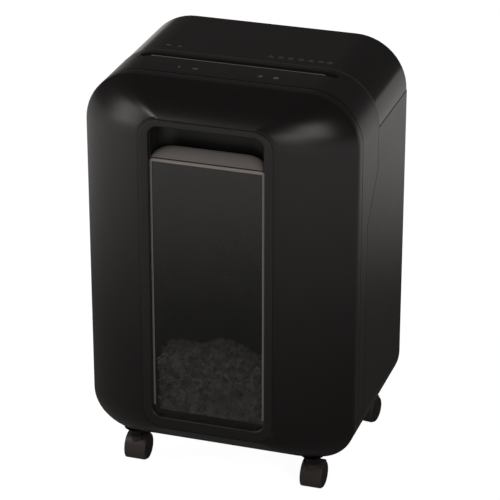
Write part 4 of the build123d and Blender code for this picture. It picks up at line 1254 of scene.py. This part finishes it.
def warning_sign(bm):
    for turn in (-60, 60):
        bar(bm, (turn / 60 * 1.7 * MM, 0), (6.4 * MM, 0.6 * MM), math.radians(turn) * -1)
    bar(bm, (0, -2.7 * MM), (6.8 * MM, 0.6 * MM))
    bar(bm, (0, -0.4 * MM), (0.7 * MM, 2 * MM))


def lay_sign(name, draw, x, y, skin_z, material):
    """Draw a sign flat, give it its thickness and lay it in the skin at x and y."""
    sign_bm = bmesh.new()
    draw(sign_bm)
    height = INK + INK_SUNK
    for vert in sign_bm.verts:
        vert.co = Vector((x + vert.co.x, y + vert.co.y, skin_z + INK - height * (0.5 - vert.co.z)))
    finish_piece(name, sign_bm, "cabinet", material, edge=0)


# %% Signs on the band and the cover
SIGN_ROW_Y = -47 * MM
NOTE_ROW_Y = 24 * MM
touch_row = [
    ("sign_power", power_sign, -66, print_grey),
    ("sign_sensor", eye_sign, -45, print_grey),
    ("sign_back", back_sign, -17, print_dark),
    ("sign_forward", forward_sign, 17, print_dark),
    ("sign_bin", bin_sign, 39, print_grey),
    ("sign_sheets", sheet_sign, 59, print_grey),
]
for name, draw, x, material in touch_row:
    lay_sign(name, draw, x * MM, SIGN_ROW_Y, body_high - SIGN_ROOM, material)
note_places = [-105, -90, 30, 43, 56, 69, 82, 95, 106]
note_shapes = [note_sign, warning_sign, warning_sign] + [barred_ring] * 6
for index, (x, draw) in enumerate(zip(note_places, note_shapes)):
    lay_sign(f"cover_note_{index}", draw, x * MM, NOTE_ROW_Y, cover_high.z, print_note)
print("signs:", len(touch_row) + len(note_places))

# %% [markdown]
# ## Casters
#
# Each caster is a twin wheel under a curved hood. The hood's section, swept 152 degrees round the
# axle, covers the front and the top; a tapered cone in front carries the stem. A wheel is a
# profile spun about the axle, with a raised ridge near its rim. All four are the same form, turned
# and placed at their stems.
# %% Caster form
TRAIL = 10 * MM
WHEEL_RADIUS = 17.5 * MM
WHEEL_NEAR = 3.6 * MM
WHEEL_WIDTH = 10.5 * MM
HOOD_INNER = 18.1 * MM
HOOD_OUTER = 19.9 * MM
HOOD_HALF = 14.4 * MM
HOOD_START = math.radians(68)
HOOD_SWEEP = math.radians(152)
WEB_HALF = 3 * MM
STEM_RADIUS = 4 * MM
NECK_TOP = body_low - BOSS_DROP - 0.3 * MM
STEM_TOP = body_low + BOSS_RISE - 2 * SKIN - 2 * MM


def swept_sector(profile, start, sweep, steps=26):
    """Solid whose (x, radius) section is swept round the caster's axle."""
    bm = bmesh.new()
    turn = Matrix.Rotation(start, 4, "X")
    edges = add_edges(bm, [turn @ Vector((x, r, 0)) for x, r in profile])
    face = bmesh.ops.contextual_create(bm, geom=edges)["faces"]
    bmesh.ops.spin(
        bm, geom=face, cent=(0, 0, 0), axis=(1, 0, 0), angle=sweep, steps=steps, use_duplicate=False,
    )
    outward(bm)
    bmesh.ops.translate(bm, verts=bm.verts, vec=(0, TRAIL, WHEEL_RADIUS))
    return bm


def fork_bm():
    """Hood, web, neck and stem of one caster, standing at the origin."""
    shoulder = 2.4 * MM
    right_side = [
        (HOOD_HALF - shoulder, HOOD_OUTER), (HOOD_HALF - 0.4 * MM, HOOD_OUTER - 0.5 * MM),
        (HOOD_HALF, HOOD_OUTER - shoulder / 2), (HOOD_HALF, HOOD_INNER),
    ]
    hood = [(-x, r) for x, r in reversed(right_side)] + right_side
    bm = swept_sector(hood, HOOD_START, HOOD_SWEEP)
    web_inner = 5 * MM
    web_outer = HOOD_INNER + 0.4 * MM
    web = [(-WEB_HALF, web_inner), (-WEB_HALF, web_outer), (WEB_HALF, web_outer), (WEB_HALF, web_inner)]
    join(bm, swept_sector(web, HOOD_START, HOOD_SWEEP))
    hub = [(3.1 * MM, -WEB_HALF), (7 * MM, -WEB_HALF), (7 * MM, WEB_HALF), (3.1 * MM, WEB_HALF)]
    join(bm, spun(hub, (0, TRAIL, WHEEL_RADIUS), axis="X", steps=32))
    cone = [(0, 18.6 * MM), (2.2 * MM, 18.9 * MM), (3.6 * MM, 20.5 * MM)]
    for step in range(1, 9):
        share = step / 8
        cone.append(((3.6 + 4.2 * share ** 0.8) * MM, 20.5 * MM + (NECK_TOP - 20.5 * MM) * share))
    tip = 0.8 * MM
    cone += [(STEM_RADIUS, NECK_TOP), (STEM_RADIUS, STEM_TOP - tip), (STEM_RADIUS - tip, STEM_TOP)]
    cone += [(0, STEM_TOP)]
    join(bm, spun(cone, (0, 0, 0), steps=40))
    return bm


def wheel_bm(side):
    """One wheel: tread, rounded shoulders, a ridge near the rim and a shallow dished face."""
    near = WHEEL_NEAR
    far = WHEEL_NEAR + WHEEL_WIDTH
    shoulder = 1.6 * MM
    bore = 3 * MM
    profile = [(bore, near), (WHEEL_RADIUS - shoulder, near)]
    quarter = [step / 4 * math.pi / 2 for step in range(5)]
    for turn in quarter[1:]:
        radius = WHEEL_RADIUS - shoulder * (1 - math.sin(turn))
        profile.append((radius, near + shoulder * (1 - math.cos(turn))))
    for turn in quarter:
        radius = WHEEL_RADIUS - shoulder * (1 - math.cos(turn))
        profile.append((radius, far - 0.5 * MM - shoulder * (1 - math.sin(turn))))
    ridge = [
        (15.4, -0.5), (15.1, -0.1), (14.6, 0.0), (14.0, -0.1), (13.7, -0.6), (13.4, -1.0), (9.0, -0.8),
        (5.2, -0.5), (4.6, -0.2), (0.0, -0.2),
    ]
    profile += [(r * MM, far + x * MM) for r, x in ridge]
    cap = far - 1.3 * MM
    profile += [(0, cap), (bore, cap)]
    bm = spun([(r, x * side) for r, x in profile], (0, TRAIL, WHEEL_RADIUS), axis="X", steps=56)
    return bm


def at_stem(bm, place):
    """Move a caster mesh from the origin to its stem, turned as the model's caster is."""
    x, y = stem_place(place)
    axle_low, axle_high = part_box(f"caster_axle_{place}")
    middle = (axle_low + axle_high) / 2
    turn = math.atan2(x - middle.x, middle.y - y)
    spin = Matrix.Rotation(turn, 4, "Z")
    bmesh.ops.transform(bm, verts=bm.verts, matrix=Matrix.Translation((x, y, 0)) @ spin)
    return bm


for place in PLACES:
    finish_piece(
        f"caster_hood_{place}", at_stem(fork_bm(), place), f"caster_{place}", caster_grey,
        [f"caster_fork_{place}"], edge=0.35 * MM, turn=40,
    )
    pair = wheel_bm(1)
    join(pair, wheel_bm(-1))
    finish_piece(
        f"caster_wheel_pair_{place}", at_stem(pair, place), f"wheels_{place}", tyre_grey,
        [f"caster_wheels_{place}"], edge=0, turn=50,
    )

# %% [markdown]
# ## Paper chips in the bin
#
# Cross-cut chips are short curled strips. Fifteen hundred of them, tumbled at random from a fixed
# seed, lie against the window over a rough heap that fills the rest of the bin's foot. One chip is
# a thin block of a dozen faces, bent a little, so that the whole heap stays light.
# %% Heap and chips
CHIP_COUNT = 1500
CHIP_LENGTH = 9 * MM
CHIP_WIDTH = 4 * MM
CHIP_THICKNESS = 0.25 * MM
HEAP_TOP = 205 * MM
dice = random.Random(7)
neck_half = 73 * MM
neck_front = pane_high.y + 3.0 * MM
heap_floor = pane_low.z + 1 * MM


def heap_height(x, y):
    """Top of the heap over a point of the bin's floor."""
    broad = noise.noise(Vector((x * 22, y * 22, 1.7))) * 9 * MM
    fine = noise.noise(Vector((x * 60, y * 60, 4.0))) * 4 * MM
    return HEAP_TOP - 12 * MM + (broad + fine) - 0.12 * abs(x)


def chip_bm():
    """One chip: a thin strip with a slight curl."""
    bm = bmesh.new()
    length = CHIP_LENGTH * dice.uniform(0.7, 1.25)
    width = CHIP_WIDTH * dice.uniform(0.85, 1.1)
    size = Matrix.Diagonal((length, width, CHIP_THICKNESS, 1))
    bmesh.ops.create_cube(bm, size=1, matrix=size)
    lengthwise = [e for e in bm.edges if abs((e.verts[0].co - e.verts[1].co).x) > length / 2]
    bmesh.ops.subdivide_edges(bm, edges=lengthwise, cuts=2)
    curl = dice.uniform(-22, 22)
    for vert in bm.verts:
        vert.co.z += curl * vert.co.x ** 2
    return bm


def tumbled(x, y, z, lean):
    """Random place and turn of a chip; lean is how far it may tip out of lying flat."""
    turn = Matrix.Rotation(dice.uniform(0, 2 * math.pi), 4, "Z")
    tip = Matrix.Rotation(dice.gauss(0, lean), 4, "X") @ Matrix.Rotation(dice.gauss(0, lean), 4, "Y")
    return Matrix.Translation((x, y, z)) @ turn @ tip


chips = bmesh.new()
for number in range(CHIP_COUNT):
    x = dice.uniform(-neck_half + 5 * MM, neck_half - 5 * MM)
    against_window = number % 4 != 0
    depth_in = dice.uniform(3.5, 9.0) * MM if against_window else dice.uniform(8, 40) * MM
    y = neck_front + depth_in
    top = heap_height(x, y)
    height_share = dice.random() ** 0.8 if against_window else 1.0
    z = heap_floor + 6 * MM + (top - heap_floor) * height_share
    one = chip_bm()
    place = tumbled(x, y, z, 0.9)
    bmesh.ops.transform(one, verts=one.verts, matrix=place)
    join(chips, one)
finish_piece("shredded_chips", chips, "bin", paper, edge=0, turn=60)

heap = bmesh.new()
heap_size = (2 * neck_half - 6 * MM, 42 * MM)
grid_place = Matrix.Translation((0, neck_front + 9 * MM + heap_size[1] / 2, heap_floor)) @ Matrix.Diagonal(
    (heap_size[0] / 2, heap_size[1] / 2, 1, 1)
)
bmesh.ops.create_grid(heap, x_segments=48, y_segments=14, size=1, matrix=grid_place)
risen = bmesh.ops.extrude_face_region(heap, geom=list(heap.faces))
for vert in [v for v in risen["geom"] if isinstance(v, bmesh.types.BMVert)]:
    vert.co.z = heap_height(vert.co.x, vert.co.y) + 2 * MM * noise.noise(vert.co * 150)
outward(heap)
finish_piece("chip_heap", heap, "bin", paper, edge=0, turn=60)

# %% [markdown]
# ## Finishes for the parts inside
#
# The parts of the machine room keep the engineering shape, which is already the shape they have.
# Each gets the finish of its real material, with its grain and machining lines.
# %% Finish the carried-over parts
INSIDE = {
    steel: ("side_frame_left", "side_frame_right", "motor_bracket"),
    zinc_plate: ("frame_screws", "tie_rods", "bin_screws", "idler_axle", "motor_shaft",
                 "caster_sleeves_front", "caster_sleeves_rear",
                 *(f"caster_axle_{place}" for place in PLACES)),
    cutter_steel: ("cutter_roller_front", "cutter_roller_rear", "sync_gear_front", "sync_gear_rear",
                   "motor_pinion", "motor_body"),
    bronze: ("shaft_bushes",),
    gear_nylon: ("roller_drive_gear", "compound_gear", "cooling_fan"),
    inner_black: ("stripper_comb_front", "stripper_comb_rear", "throat_guide", "head_tray", "bin_tub",
                  "bin_runners", "gear_cover", "power_inlet", "switch_housing", "power_rocker"),
    part_black: ("paper_sensor", "bin_sensor", "board_parts", "touch_board", "bin_magnet"),
    board_green: ("circuit_board",),
}
dressed = set()
for material, names in INSIDE.items():
    for name in names:
        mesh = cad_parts[name].data
        mesh.materials.clear()
        mesh.materials.append(material)
        dressed.add(name)
print("parts inside with their own finish:", len(dressed))

# %% [markdown]
# ## Studio
#
# A polished black shell shows little but reflections, so the light is what draws its shape: a tall
# soft box on the left, a broad one on the right with a smaller one in front of it, a small key high
# on the front left, and a dim warm room for everything else. The camera sees the floor as an even
# white, while the shell mirrors a painted glow on the floor that grows from half a metre out, with
# painted shade close round the machine.
# %% Camera
CAMERA_TURN = math.radians(18.06)
CAMERA_RISE = math.radians(24.91)
CAMERA_DISTANCE = 3.232
aim = Vector((-0.0003, 0.0325, 0.2715))
back = Vector((
    math.sin(CAMERA_TURN) * math.cos(CAMERA_RISE),
    -math.cos(CAMERA_TURN) * math.cos(CAMERA_RISE),
    math.sin(CAMERA_RISE),
))
lens = bpy.data.cameras.new("camera")
lens.lens = 180
lens.sensor_width = 36
camera = bpy.data.objects.new("camera", lens)
camera.location = aim + back * CAMERA_DISTANCE
camera.rotation_mode = "QUATERNION"
camera.rotation_quaternion = (-back).to_track_quat("-Z", "Y")
bpy.context.scene.collection.objects.link(camera)
bpy.context.scene.camera = camera


# %% Lights
def soft_box(name, place, look_at, size, strength, tone=(1, 1, 1)):
    """Rectangular studio light."""
    lamp = bpy.data.lights.new(name, "AREA")
    lamp.shape = "RECTANGLE"
    lamp.size = size[0]
    lamp.size_y = size[1]
    lamp.energy = strength
    lamp.color = tone
    holder = bpy.data.objects.new(name, lamp)
    holder.location = place
    aim_way = Vector(look_at) - Vector(place)
    holder.rotation_mode = "QUATERNION"
    holder.rotation_quaternion = aim_way.to_track_quat("-Z", "Y")
    bpy.context.scene.collection.objects.link(holder)
    return holder


soft_box("key box", (-1.2, -1.3, 2.1), (0, 0, 0.4), (0.45, 0.45), 8, (1, 0.96, 0.93))
soft_box("low left box", (-1.95, -1.0, 0.95), (0, 0, 0.35), (0.8, 1.5), 10, (1, 0.96, 0.93))
soft_box("right box", (1.7, -1.6, 1.3), (0, 0, 0.4), (0.9, 1.1), 9, (1, 0.96, 0.93))
soft_box("front box", (1.15, -2.1, 0.85), (0, 0, 0.4), (0.7, 0.7), 4, (1, 0.96, 0.93))

# %% Room and floor
bpy.context.scene.view_settings.view_transform = "Standard"
room = bpy.data.worlds.new("studio room")
room.use_nodes = True
room_tree = room.node_tree
room_tree.nodes["Background"].inputs["Color"].default_value = (0.08, 0.076, 0.074, 1)
room_tree.nodes["Background"].inputs["Strength"].default_value = 1.0
bpy.context.scene.world = room

floor_bm = bmesh.new()
bmesh.ops.create_grid(floor_bm, x_segments=1, y_segments=1, size=12)
floor_mesh = bpy.data.meshes.new("floor")
floor_bm.to_mesh(floor_mesh)
floor_bm.free()
floor = bpy.data.objects.new("floor", floor_mesh)
bpy.context.scene.collection.objects.link(floor)
floor_look = bpy.data.materials.new("white studio floor")
floor_look.use_nodes = True
floor_tree = floor_look.node_tree
floor_tree.nodes.clear()
floor_end = node(floor_tree, "ShaderNodeOutputMaterial", 600, 0)
matt = node(floor_tree, "ShaderNodeBsdfDiffuse", 0, -250)
matt.inputs["Color"].default_value = (0.4, 0.4, 0.4, 1)
glow = node(floor_tree, "ShaderNodeEmission", 0, 100)
glow.inputs["Strength"].default_value = 0.96
# For every ray but the camera's the floor glows in a ring from 0.55 m to 1.35 m out: a painted pool of light
# for the shell to mirror, with painted shade close round the machine.
sweep = node(floor_tree, "ShaderNodeEmission", 0, -50)
sweep.inputs["Color"].default_value = (1, 0.96, 0.94, 1)
place_on_floor = node(floor_tree, "ShaderNodeTexCoord", -900, -50)
from_object = node(floor_tree, "ShaderNodeVectorMath", -700, -50, operation="LENGTH")
pool = node(floor_tree, "ShaderNodeMapRange", -400, -50, interpolation_type="SMOOTHSTEP")
pool.inputs["From Min"].default_value = 0.55
pool.inputs["From Max"].default_value = 1.35
pool.inputs["To Max"].default_value = 0.5
seen_glow = node(floor_tree, "ShaderNodeAddShader", 200, 150)
pool_glow = node(floor_tree, "ShaderNodeAddShader", 200, -150)
seen = node(floor_tree, "ShaderNodeMixShader", 400, 0)
rays = node(floor_tree, "ShaderNodeLightPath", 0, 450)
floor_links = floor_tree.links
floor_links.new(place_on_floor.outputs["Object"], from_object.inputs[0])
floor_links.new(from_object.outputs["Value"], pool.inputs["Value"])
floor_links.new(pool.outputs["Result"], sweep.inputs["Strength"])
floor_links.new(glow.outputs["Emission"], seen_glow.inputs[0])
floor_links.new(matt.outputs["BSDF"], seen_glow.inputs[1])
floor_links.new(sweep.outputs["Emission"], pool_glow.inputs[0])
floor_links.new(matt.outputs["BSDF"], pool_glow.inputs[1])
floor_links.new(rays.outputs["Is Camera Ray"], seen.inputs["Fac"])
floor_links.new(pool_glow.outputs["Shader"], seen.inputs[1])
floor_links.new(seen_glow.outputs["Shader"], seen.inputs[2])
floor_links.new(seen.outputs["Shader"], floor_end.inputs["Surface"])
floor_mesh.materials.append(floor_look)
